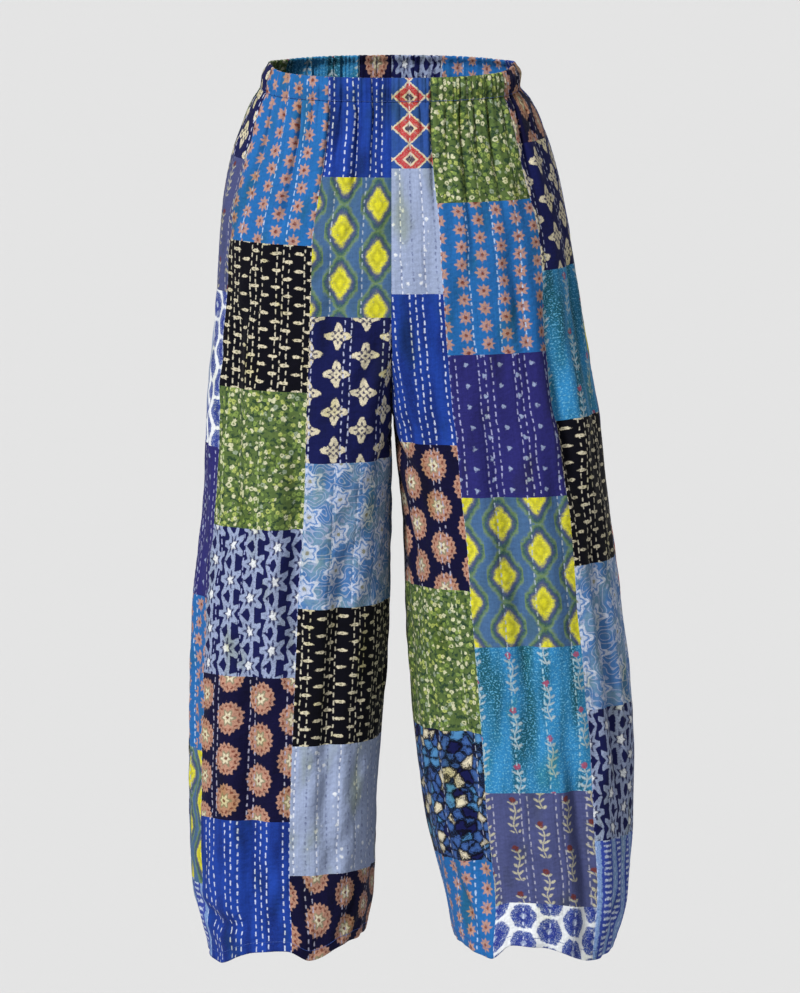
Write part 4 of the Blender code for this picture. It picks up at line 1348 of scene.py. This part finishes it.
def cloth_mesh(name, panel, flat, places, materials):
    """A piece of cloth as a mesh: cut along its patches, coloured, mapped and lifted."""
    rows, columns = flat.shape[:2]
    rows_go_down = flat[-1, 0, 1] > flat[0, 0, 1]
    flip = ((SIDE_SIGN[panel[0]] > 0) == (panel[1] == "front")) != rows_go_down
    mesh = bpy.data.meshes.new(name)
    level = np.concatenate((flat.reshape(-1, 2), np.zeros((rows * columns, 1))), axis=1)
    mesh.from_pydata(level.tolist(), [], grid_faces(rows, columns, flip).tolist())
    stored = mesh.attributes.new(PLACE, "FLOAT_VECTOR", "POINT")
    stored.data.foreach_set("vector", places.reshape(-1).astype(np.float32))
    cloth = bmesh.new()
    cloth.from_mesh(mesh)
    patches = patches_of(panel)
    for line in sorted({patch.right for patch in patches})[:-1]:
        cut_along(cloth, crossing(cloth, 0, line, -END, END), (line, 0, 0), (1, 0, 0))
    for patch in patches:
        faces = crossing(cloth, 1, patch.bottom, patch.left, patch.right)
        if faces:
            cut_along(cloth, faces, (0, patch.bottom, 0), (0, 1, 0))
    cloth.to_mesh(mesh)
    cloth.free()
    colour_and_lift(mesh, patches, materials)
    return mesh


def read_all(items, name, width=1, kind=np.float32):
    """One property of all of a mesh's items, as an array with a row for each."""
    values = np.zeros(len(items) * width, kind)
    items.foreach_get(name, values)
    return values.reshape(-1, width) if width > 1 else values


def colour_and_lift(mesh, patches, materials):
    """Give each face its print, map it from its patch's corner, and move all points to the form."""
    flat = read_all(mesh.vertices, "co", 3)[:, :2]
    corners = read_all(mesh.loops, "vertex_index", kind=np.int32)
    starts = read_all(mesh.polygons, "loop_start", kind=np.int32)
    sizes = np.diff(np.append(starts, len(corners)))
    centres = np.add.reduceat(flat[corners], starts, axis=0) / sizes[:, None]
    slots = np.zeros(len(starts), np.int32)
    origins = np.zeros((len(starts), 2), np.float32)
    names = [material.name for material in materials]
    for patch in patches:
        inside = ((centres[:, 0] > patch.left) & (centres[:, 0] <= patch.right)
                  & (centres[:, 1] > patch.top) & (centres[:, 1] <= patch.bottom))
        if inside.any():
            slots[inside] = names.index(cottons[patch.name].name)
            origins[inside] = (max(patch.left, OPEN_START), max(patch.top, OPEN_START))
    for material in materials:
        mesh.materials.append(material)
    mesh.polygons.foreach_set("material_index", slots)
    on_map = flat[corners] - np.repeat(origins, sizes, axis=0)
    mesh.uv_layers.new(name=CLOTH_MAP).uv.foreach_set("vector", on_map.ravel())
    places = read_all(mesh.attributes[PLACE].data, "vector", 3)
    mesh.attributes.remove(mesh.attributes[PLACE])
    mesh.vertices.foreach_set("co", places.ravel())
    mesh.shade_smooth()
    mesh.update()


def add_piece(name, mesh):
    piece = bpy.data.objects.new(name, mesh)
    bpy.context.scene.collection.objects.link(piece)
    return piece


def thicken(piece):
    """Give a sheet its thickness, inwards, with the reverse of the print inside and at its edges."""
    wall = piece.modifiers.new("cloth_thickness", "SOLIDIFY")
    wall.thickness = CLOTH_THICKNESS
    wall.offset = -1.0
    wall.material_offset = len(piece.data.materials)
    wall.material_offset_rim = len(piece.data.materials)


# %% [markdown]
# ## Leg panels
#
# Each panel is one sheet of cotton. Its two long edges are turned in as seam allowances, and
# its lower edge is rolled into a narrow hem. A Solidify modifier gives the cloth its
# thickness, and puts the reverse of the print on the inside.

# %% Grid of a panel
JOINT_DROP = 0.0262          # where casing and panels meet, in the groove of the stitching
JOINT_GROOVE = 0.0005
JOINT_WIDTH = 0.0013
TUCK_DEPTH = 0.0012          # a panel's top edge reaches up inside the casing
TUCK_LAP = 0.0013            # the casing laps over it by this much
TUCK_ROWS = (0.0200, 0.0232, 0.0248, 0.0256, 0.0262, 0.0268, 0.0276, 0.0290)
ROW_STEP = 0.002
PANEL_ROWS = 200
PANEL_COLUMNS = 184
SEAM_SHARES = (0.0, 0.0022, 0.0050, 0.0090)   # closer together at the seams
CROWD_DROP = 0.05            # columns crowd into the pleats as they lie here
CROWD_WIDTH = 0.006
CROWDING = 1.8
COLUMN_LAYS = 20             # how finely the columns' places are worked out
ROWS_EVEN, ROWS_OPENING = 0.72, 0.28   # rows open out a little on their way down
ALLOWANCE_STEPS = (0.0010, 0.0040, 0.0080)   # turned in at each seam
ALLOWANCE_PRESSED = 0.04     # how much of it stands out inside the casing, as a share
ALLOWANCE_OPENS = 0.012      # it stands out fully this far below the casing
CASING_INNER_LOW = 0.0285    # where the casing ends on the inside
HEM_RADIUS = 0.0012          # of the roll at the edge
HEM_TURNS = (45, 90, 135, 180)
HEM_STEP = 0.004             # rows of the turned-up part
HEM_STEPS = 3


def panel_shares(panel):
    """Across a panel, as shares of its width: closer together in pleats and at the seams."""
    near = np.array(SEAM_SHARES)
    edge = 2 * near[-1] - near[-2]
    fine = np.linspace(edge, 1 - edge, COLUMN_LAYS * PANEL_COLUMNS)
    width = between(SECTIONS[panel].width, CROWD_DROP)
    across = flat_across(panel, CROWD_DROP, (1 - fine) * width)
    crowd = np.ones(len(fine))
    for pleat in PLEATS[panel]:
        crowd += CROWDING * np.exp(-((across - pleat.top * MM) / CROWD_WIDTH) ** 2)
    reached = np.cumsum(crowd)
    even = np.interp(np.linspace(reached[0], reached[-1], PANEL_COLUMNS), reached, fine)
    return np.concatenate((near, even, 1 - near[::-1]))


def panel_side_drops():
    """Down the side seam: closer together in the gathers, and even steps at the hem."""
    turned = HEM_DROP - HEM_STEP * np.arange(HEM_STEPS, -1, -1)
    run = np.linspace(0.0, 1.0, PANEL_ROWS)
    top = TUCK_ROWS[-1] + ROW_STEP
    spaced = top + (turned[0] - top) * (ROWS_EVEN * run + ROWS_OPENING * run ** 2)
    return np.concatenate((TUCK_ROWS, spaced[:-1], turned))


print(len(panel_side_drops()), "rows and", len(panel_shares(PANELS[0])), "columns to a panel")

# %% [markdown]
# The edges of the grid are cloth too. Below, the hem goes round a small roll and back up
# inside the leg. At the seams a strip of each panel stands inwards, which hides the gap that
# two single sheets would show.

# %% Turn in the edges


def rolled_hem(flat, places, ways):
    """The rows past the edge: round the roll, then back up inside the leg."""
    down = places[-1] - places[-2]
    down /= np.linalg.norm(down, axis=-1, keepdims=True)
    new_flat, new_places, new_ways = [], [], []
    for degrees in HEM_TURNS:
        turn = math.radians(degrees)
        new_places.append(places[-1] + down * HEM_RADIUS * math.sin(turn)
                          - ways[-1] * HEM_RADIUS * (1 - math.cos(turn)))
        new_flat.append(flat[-1] + (0.0, HEM_RADIUS * turn))
        new_ways.append(ways[-1])
    for step in range(1, HEM_STEPS + 1):
        new_places.append(places[-1 - step] - ways[-1 - step] * 2 * HEM_RADIUS)
        new_flat.append(flat[-1] + (0.0, HEM_RADIUS * math.pi + HEM_STEP * step))
        new_ways.append(ways[-1 - step])
    return (np.concatenate((flat, new_flat)), np.concatenate((places, new_places)),
            np.concatenate((ways, new_ways)))


def seam_allowances(flat, places, ways):
    """Turn both long edges straight in, and flatten them where they enter the casing."""
    opened = ease((flat[:, :1, 1] - CASING_INNER_LOW) / ALLOWANCE_OPENS)
    free = ALLOWANCE_PRESSED + (1 - ALLOWANCE_PRESSED) * opened
    steps = np.array(ALLOWANCE_STEPS)[None, :, None]

    def turned_in(column, side):
        new_flat = flat[:, column, None] + steps * (side, 0.0)
        return new_flat, places[:, column, None] - (ways[:, column] * free)[:, None] * steps

    inner_flat, inner = turned_in(0, -1.0)
    outer_flat, outer = turned_in(-1, 1.0)
    return (np.concatenate((inner_flat[:, ::-1], flat, outer_flat), axis=1),
            np.concatenate((inner[:, ::-1], places, outer), axis=1))


def square_to_seams(panel, places, ways):
    """Point the outward direction at each seam along the plane that both its panels share."""
    ways[:, -1, 1] = 0.0
    in_leg = places[:, 0, 2] < RIM_Z - FORK_DROP
    ways[in_leg, 0, 1] = 0.0
    run = np.gradient(places[:, 0], axis=0)
    square = np.stack((np.zeros(len(run)), run[:, 2], -run[:, 1]), axis=-1)
    ways[~in_leg, 0] = square[~in_leg] * (1 if panel[1] == "front" else -1)
    return ways / np.linalg.norm(ways, axis=-1, keepdims=True)


def flat_area(flat):
    """The area of a grid of flat places."""
    a = flat[1:, 1:] - flat[:-1, :-1]
    b = flat[1:, :-1] - flat[:-1, 1:]
    return float(abs(a[..., 0] * b[..., 1] - a[..., 1] * b[..., 0]).sum() / 2)


def joint_groove(drop):
    return JOINT_GROOVE * np.exp(-((drop - JOINT_DROP) / JOINT_WIDTH) ** 2)


def on_cloth(panel, side_drops):
    """Flat places, places in space and outward directions of the cloth of a panel."""
    flat, form, to_side, to_inner = panel_places(panel, side_drops, panel_shares(panel))
    ways = square_to_seams(panel, form, outward(form, panel))
    depth, shift = cloth_offsets(panel, flat, to_side, to_inner)
    tucked = ease((JOINT_DROP + TUCK_LAP - flat[..., 1]) / (2 * TUCK_LAP))
    depth += joint_groove(flat[..., 1]) + TUCK_DEPTH * tucked
    places = form - ways * depth[..., None] + sideways(form) * shift[..., None]
    return flat, places, ways


def lift_panel(panel):
    """Flat places and places in space of a whole panel."""
    return seam_allowances(*rolled_hem(*on_cloth(panel, panel_side_drops())))


# %% Make the panels
panels = {}
for panel in PANELS:
    leg, face = panel
    flat, places = lift_panel(panel)
    used = dict.fromkeys(cottons[patch.name] for patch in patches_of(panel))
    mesh = cloth_mesh(face + "_" + leg, panel, flat, places, [*used, reverse_cotton])
    piece = add_piece(face + "_" + leg + "_cloth", mesh)
    thicken(piece)
    size, area = np.ptp(flat.reshape(-1, 2), axis=0), flat_area(flat)
    panels[panel] = (piece, tuple(size.tolist()), area)
    print(piece.name, len(mesh.polygons), "faces, cut", size.round(3), "m,", round(area, 3), "m2")

# %% [markdown]
# ## The casing
#
# The top edge isn't a separate band: the cloth itself is turned over the elastic and stitched
# down, so the print runs on up to the rim and over it to the inside. The casing is made as
# four quarters, one over each panel, which are then joined into a ring. The elastic keeps it
# slightly rounded, and pinches it all the way round.

# %% Shape of the casing
CASING_WALL = 0.0034         # elastic between two layers of cloth
STITCH_LINE = 0.0252
STITCH_ROWS = (0.0257, STITCH_LINE, 0.0246, 0.0238)   # close together where the cloth dips
CASING_OUTER_LOW = 0.0222
OUTER_ROWS, RIM_ROWS, INNER_ROWS = 12, 6, 11
RIM_RUFFLE = 0.0007
RUFFLE_HEIGHT = 0.012        # how far below the rim it is gone
INNER_PLEATS = 0.95          # how far the inner face follows the long pleats
INNER_FINE = 0.75            # and the fine ones
MERGE_DISTANCE = 0.00002


def casing_profile():
    """Rows of the casing: drop, inset from its outer face and flat height, from bottom to bottom."""
    radius = CASING_WALL / 2
    outside = (JOINT_DROP, *STITCH_ROWS, *np.linspace(CASING_OUTER_LOW, radius, OUTER_ROWS))
    rows = [(drop, 0.0, drop) for drop in outside]
    for turn in np.linspace(0.0, math.pi, RIM_ROWS + 2)[1:-1]:
        rows.append((radius - radius * math.sin(turn), radius - radius * math.cos(turn),
                     radius - radius * turn))
    end = radius - radius * math.pi
    rows += [(drop, CASING_WALL, end - (drop - radius))
             for drop in np.linspace(radius, CASING_INNER_LOW, INNER_ROWS)]
    return np.array(rows)


def casing_places(panel, profile):
    """Flat places and places in space of one quarter of the casing."""
    shares = panel_shares(panel)[None, :]
    drop, inset, flat_down = (profile[:, number, None] + 0 * shares for number in range(3))
    distance = (1 - shares) * between(SECTIONS[panel].width, drop)
    across = flat_across(panel, drop, distance)
    form = on_form(panel, drop, distance)
    tangent = np.gradient(form, axis=1)
    ways = np.stack((tangent[..., 1], -tangent[..., 0], np.zeros(drop.shape)), axis=-1)
    ways /= np.linalg.norm(ways, axis=-1, keepdims=True)
    ways *= np.sign((ways[..., :2] * form[..., :2]).sum(axis=-1, keepdims=True))
    ways[:, 0] = (0.0, math.copysign(1.0, form[0, 0, 1]), 0.0)
    ways[:, -1] = (SIDE_SIGN[panel[0]], 0.0, 0.0)
    to_seam = np.minimum(distance, between(SECTIONS[panel].width, drop) - distance)
    loose = from_seam(to_seam, SEAM_STIFFNESS)
    fine = fine_pleats(panel, across) * from_seam(to_seam, FINE_STIFFNESS)
    pleats, shift = long_pleats(panel, across, drop)
    inner = inset / CASING_WALL
    depth = (inset + FINE_DEPTH * fine * (1 - inner + inner * INNER_FINE)
             + pleats * loose * (1 - inner + inner * INNER_PLEATS)
             + joint_groove(drop) * (1 - inner))
    places = form - ways * depth[..., None] + sideways(form) * (shift * loose)[..., None]
    places[..., 2] += RIM_RUFFLE * (0.5 - fine) * (1 - ease(drop / RUFFLE_HEIGHT))
    return np.stack((across, flat_down), axis=-1), places


print(len(casing_profile()), "rows up the casing, over the rim and down inside")

# %% [markdown]
# The four quarters meet at the same places, so merging their shared points makes one ring.
# A ring of one mesh needs no seams of its own, and its pleats run on over the rim unbroken.

# %% Make the casing
casing_cottons = dict.fromkeys(
    cottons[patch.name] for panel in PANELS for patch in patches_of(panel) if patch.top < BAND_HEIGHT)
casing = bmesh.new()
for panel in PANELS:
    flat, places = casing_places(panel, casing_profile())
    quarter = cloth_mesh("casing_quarter", panel, flat, places, [*casing_cottons, reverse_cotton])
    casing.from_mesh(quarter)
bmesh.ops.remove_doubles(casing, verts=casing.verts, dist=MERGE_DISTANCE)
casing_mesh = bpy.data.meshes.new("waist_casing")
casing.to_mesh(casing_mesh)
casing.free()
for material in [*casing_cottons, reverse_cotton]:
    casing_mesh.materials.append(material)
casing_mesh.shade_smooth()
waist_casing = add_piece("waist_casing", casing_mesh)
thicken(waist_casing)
casing_height = float(np.ptp(casing_profile()[:, 2]))

# %% [markdown]
# ## Machine stitches
#
# A row of lockstitches holds the casing down and another holds each hem. Hundreds of small
# like things along a line are work for Geometry Nodes: the line is resampled at the stitch
# pitch, and a short thread is set on every point, turned along the line. The result is then
# made a plain mesh.

# %% Thread
TWIST_SIZE = 1 / 1500.0      # metres
TWIST_CONTRAST = 0.5
TWIST_RELIEF, TWIST_STRENGTH = 0.0001, 0.6
THREAD_ROUGHNESS = 0.6


def sewing_thread(name, colour):
    """Polyester-cotton thread: round, matte, with a twist too fine to show but as speckle."""
    material, tree, shader = new_material(name)
    place = add_node(tree, "ShaderNodeTexCoord", output=3)
    twist = add_node(tree, "ShaderNodeTexNoise",
                     {"Vector": place, "Scale": 1 / TWIST_SIZE, "Detail": 1.0})
    tone = add_node(tree, MATH, {0: twist, 1: TWIST_CONTRAST, 2: 1 - TWIST_CONTRAST / 2},
                    operation="MULTIPLY_ADD")
    toned = add_node(tree, VECTOR_MATH, {0: colour[:3], "Scale": tone}, operation="SCALE")
    tree.links.new(toned, shader.inputs["Base Color"])
    bump = add_node(tree, "ShaderNodeBump",
                    {"Height": twist, "Distance": TWIST_RELIEF, "Strength": TWIST_STRENGTH})
    tree.links.new(bump, shader.inputs["Normal"])
    shader.inputs["Roughness"].default_value = THREAD_ROUGHNESS
    return material


blue_thread = sewing_thread("thread_blue", ink("#2c4a94"))

# %% Stitches along a line
STITCH_POINTS = 4        # along one stitch
THREAD_SIDES = 6         # round its thread


def stitch_tree():
    """Short round threads along a line, each turned to follow it."""
    tree = bpy.data.node_groups.new("stitches_along_a_line", "GeometryNodeTree")
    face = tree.interface
    face.new_socket("Line", in_out="INPUT", socket_type="NodeSocketGeometry")
    for name in ("Stitch Pitch", "Stitch Length", "Thread Radius"):
        face.new_socket(name, in_out="INPUT", socket_type="NodeSocketFloat")
    face.new_socket("Thread", in_out="INPUT", socket_type="NodeSocketMaterial")
    face.new_socket("Stitches", in_out="OUTPUT", socket_type="NodeSocketGeometry")
    given = add_node(tree, "NodeGroupInput").node.outputs
    line = add_node(tree, "GeometryNodeMeshToCurve", {0: given["Line"]})
    even = add_node(tree, "GeometryNodeResampleCurve",
                    {"Curve": line, "Length": given["Stitch Pitch"]}, mode="LENGTH")
    tangent = add_node(tree, "GeometryNodeInputTangent")
    turn = add_node(tree, "FunctionNodeAlignRotationToVector", {"Vector": tangent}, axis="X")
    half = add_node(tree, MATH, {0: given["Stitch Length"], 1: 0.5}, operation="MULTIPLY")
    back = add_node(tree, MATH, {0: half, 1: -1.0}, operation="MULTIPLY")
    start = add_node(tree, "ShaderNodeCombineXYZ", {0: back})
    end = add_node(tree, "ShaderNodeCombineXYZ", {0: half})
    run = add_node(tree, "GeometryNodeCurvePrimitiveLine", {"Start": start, "End": end})
    run = add_node(tree, "GeometryNodeResampleCurve",
                   {"Curve": run, "Count": STITCH_POINTS}, mode="COUNT")
    thread = add_node(tree, "GeometryNodeCurvePrimitiveCircle",
                      {"Resolution": THREAD_SIDES, "Radius": given["Thread Radius"]})
    stitch = add_node(tree, "GeometryNodeCurveToMesh",
                      {"Curve": run, "Profile Curve": thread, "Fill Caps": True})
    many = add_node(tree, "GeometryNodeInstanceOnPoints",
                    {"Points": even, "Instance": stitch, "Rotation": turn})
    real = add_node(tree, "GeometryNodeRealizeInstances", {0: many})
    sewn = add_node(tree, "GeometryNodeSetMaterial", {0: real, "Material": given["Thread"]})
    given_back = tree.nodes.new("NodeGroupOutput")
    tree.links.new(sewn, given_back.inputs[0])
    return tree


STITCHES = stitch_tree()


def sew(name, line, closed, pitch, length, radius, thread):
    """Stitches along a line of places, as one plain mesh."""
    edges = [(number, number + 1) for number in range(len(line) - 1)]
    if closed:
        edges.append((len(line) - 1, 0))
    guide_mesh = bpy.data.meshes.new(name + "_guide")
    guide_mesh.from_pydata(line.tolist(), edges, [])
    guide = add_piece(name + "_guide", guide_mesh)
    nodes = guide.modifiers.new("stitches", "NODES")
    nodes.node_group = STITCHES
    sockets = {item.name: item.identifier for item in STITCHES.interface.items_tree}
    for socket, value in (("Stitch Pitch", pitch), ("Stitch Length", length),
                          ("Thread Radius", radius), ("Thread", thread)):
        nodes[sockets[socket]] = value
    evaluated = guide.evaluated_get(bpy.context.evaluated_depsgraph_get())
    mesh = bpy.data.meshes.new_from_object(evaluated)
    mesh.name = name
    bpy.data.objects.remove(guide)
    bpy.data.meshes.remove(guide_mesh)
    mesh.shade_smooth()
    print(name, len(mesh.polygons), "faces")
    return add_piece(name, mesh)


# %% Sew the casing and the hems
LOCKSTITCH_PITCH = 0.0032
LOCKSTITCH_LENGTH = 0.0026
THREAD_RADIUS = 0.00022
HEM_STITCH_HEIGHT = 0.010
NEAR_ROWS = np.array((-0.002, 0.0, 0.002))   # a row and its neighbours, to tell which way is out


def casing_stitch_line():
    """Right round the casing, half a thread above its cloth."""
    ring = []
    profile = np.array([(STITCH_LINE, -THREAD_RADIUS, STITCH_LINE)])
    for number, panel in enumerate(PANELS):
        _, places = casing_places(panel, profile)
        quarter = places[0] if number % 2 == 0 else places[0][::-1]
        ring.append(quarter[:-1])
    return np.concatenate(ring)


def hem_stitch_line(panel):
    _, places, ways = on_cloth(panel, HEM_DROP - HEM_STITCH_HEIGHT + NEAR_ROWS)
    return places[1] + ways[1] * THREAD_RADIUS


LOCKSTITCH = (LOCKSTITCH_PITCH, LOCKSTITCH_LENGTH, THREAD_RADIUS, blue_thread)
casing_stitches = sew("casing_stitches", casing_stitch_line(), True, *LOCKSTITCH)
hem_stitches = {
    (leg, face): sew("hem_stitches_" + face + "_" + leg, hem_stitch_line((leg, face)), False, *LOCKSTITCH)
    for leg, face in PANELS
}

# %% [markdown]
# ## Floor and light
#
# The photograph is a cut-out on plain pale grey, lit softly, a little more from the left and
# above. A wide pale floor far below fills the view, and its tone is set so that it comes out
# as the same grey. A bright band of sky round the horizon stands in for studio walls. One
# broad sun from the left shows the folds, a weak one fills the other side, and one behind
# keeps the back of the garment out of the dark. The floor lies so far down that no shadow
# falls within the view from the front.

# %% Floor
FLOOR_Z = -1.75
FLOOR_SIZE = 400.0
FLOOR_SHADE = ink("#c6c6c6")
CLOUD_SIZE = 1 / 3.0         # metres
CLOUD_CONTRAST = 0.004

floor_paper, tree, floor_shader = new_material("matte_paper_floor")
floor_place = add_node(tree, "ShaderNodeTexCoord", output=3)
clouds = add_node(tree, "ShaderNodeTexNoise",
                  {"Vector": floor_place, "Scale": 1 / CLOUD_SIZE, "Detail": 2.0})
tint = add_node(tree, MATH, {0: clouds, 1: CLOUD_CONTRAST, 2: 1 - CLOUD_CONTRAST / 2},
                operation="MULTIPLY_ADD")
shade = add_node(tree, VECTOR_MATH, {0: FLOOR_SHADE[:3], "Scale": tint}, operation="SCALE")
tree.links.new(shade, floor_shader.inputs["Base Color"])
floor_shader.inputs["Roughness"].default_value = 1.0
floor_shader.inputs["Specular IOR Level"].default_value = 0.0
floor_mesh = bpy.data.meshes.new("studio_floor")
half_floor = FLOOR_SIZE / 2
floor_mesh.from_pydata([(x * half_floor, y * half_floor, FLOOR_Z)
                        for x, y in ((-1, -1), (1, -1), (1, 1), (-1, 1))], [], [(0, 1, 2, 3)])
floor_mesh.materials.append(floor_paper)
studio_floor = add_piece("studio_floor", floor_mesh)
print("floor", round(FLOOR_SIZE), "m wide,", round(-FLOOR_Z, 2), "m below the waist")

# %% Light
HORIZON_GREY, SKY_GREY = 0.775, 0.22     # linear radiance
HORIZON_REACH, SKY_START = 0.05, 0.20    # as sines of the height above the horizon
Sun = namedtuple("Sun", "name azimuth elevation strength softness")   # angles in degrees
SUNS = (
    Sun("key_light", -34, 38, 4.6, 14),
    Sun("fill_light", 44, 10, 0.35, 60),
    Sun("back_light", 165, 35, 1.2, 40),
)

world = bpy.data.worlds.new("studio_sky")
world.use_nodes = True
bpy.context.scene.world = world
tree = world.node_tree
way = add_node(tree, "ShaderNodeTexCoord")
height = add_node(tree, "ShaderNodeSeparateXYZ", {0: way}, output=2)
grey = add_node(tree, "ShaderNodeMapRange",
                {"Value": height, "From Min": HORIZON_REACH, "From Max": SKY_START,
                 "To Min": HORIZON_GREY, "To Max": SKY_GREY}, interpolation_type="SMOOTHSTEP")
background = tree.nodes["Background"]
background.inputs["Color"].default_value = (1.0, 1.0, 1.0, 1.0)
tree.links.new(grey, background.inputs["Strength"])
for sun in SUNS:
    lamp_data = bpy.data.lights.new(sun.name, "SUN")
    lamp_data.energy = sun.strength
    lamp_data.angle = math.radians(sun.softness)
    lamp = bpy.data.objects.new(sun.name, lamp_data)
    azimuth, elevation = math.radians(sun.azimuth), math.radians(sun.elevation)
    towards = Vector((math.sin(azimuth) * math.cos(elevation),
                      -math.cos(azimuth) * math.cos(elevation), math.sin(elevation)))
    lamp.rotation_euler = towards.to_track_quat("Z", "Y").to_euler()
    bpy.context.scene.collection.objects.link(lamp)
bpy.context.scene.view_settings.view_transform = "Standard"
print(len(SUNS), "suns and a sky")

# %% [markdown]
# ## Attaching the pieces
#
# Every piece rides on the one body, and the solid part that each panel and the casing
# stand for is hidden.

for panel in PANELS:
    leg, face = panel
    piece, size, area = panels[panel]
    node = face + "_" + leg
    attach(piece, "root")
    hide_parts(node)
    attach(hem_stitches[panel], "root")
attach(waist_casing, "root")
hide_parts("waistband")
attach(casing_stitches, "root")
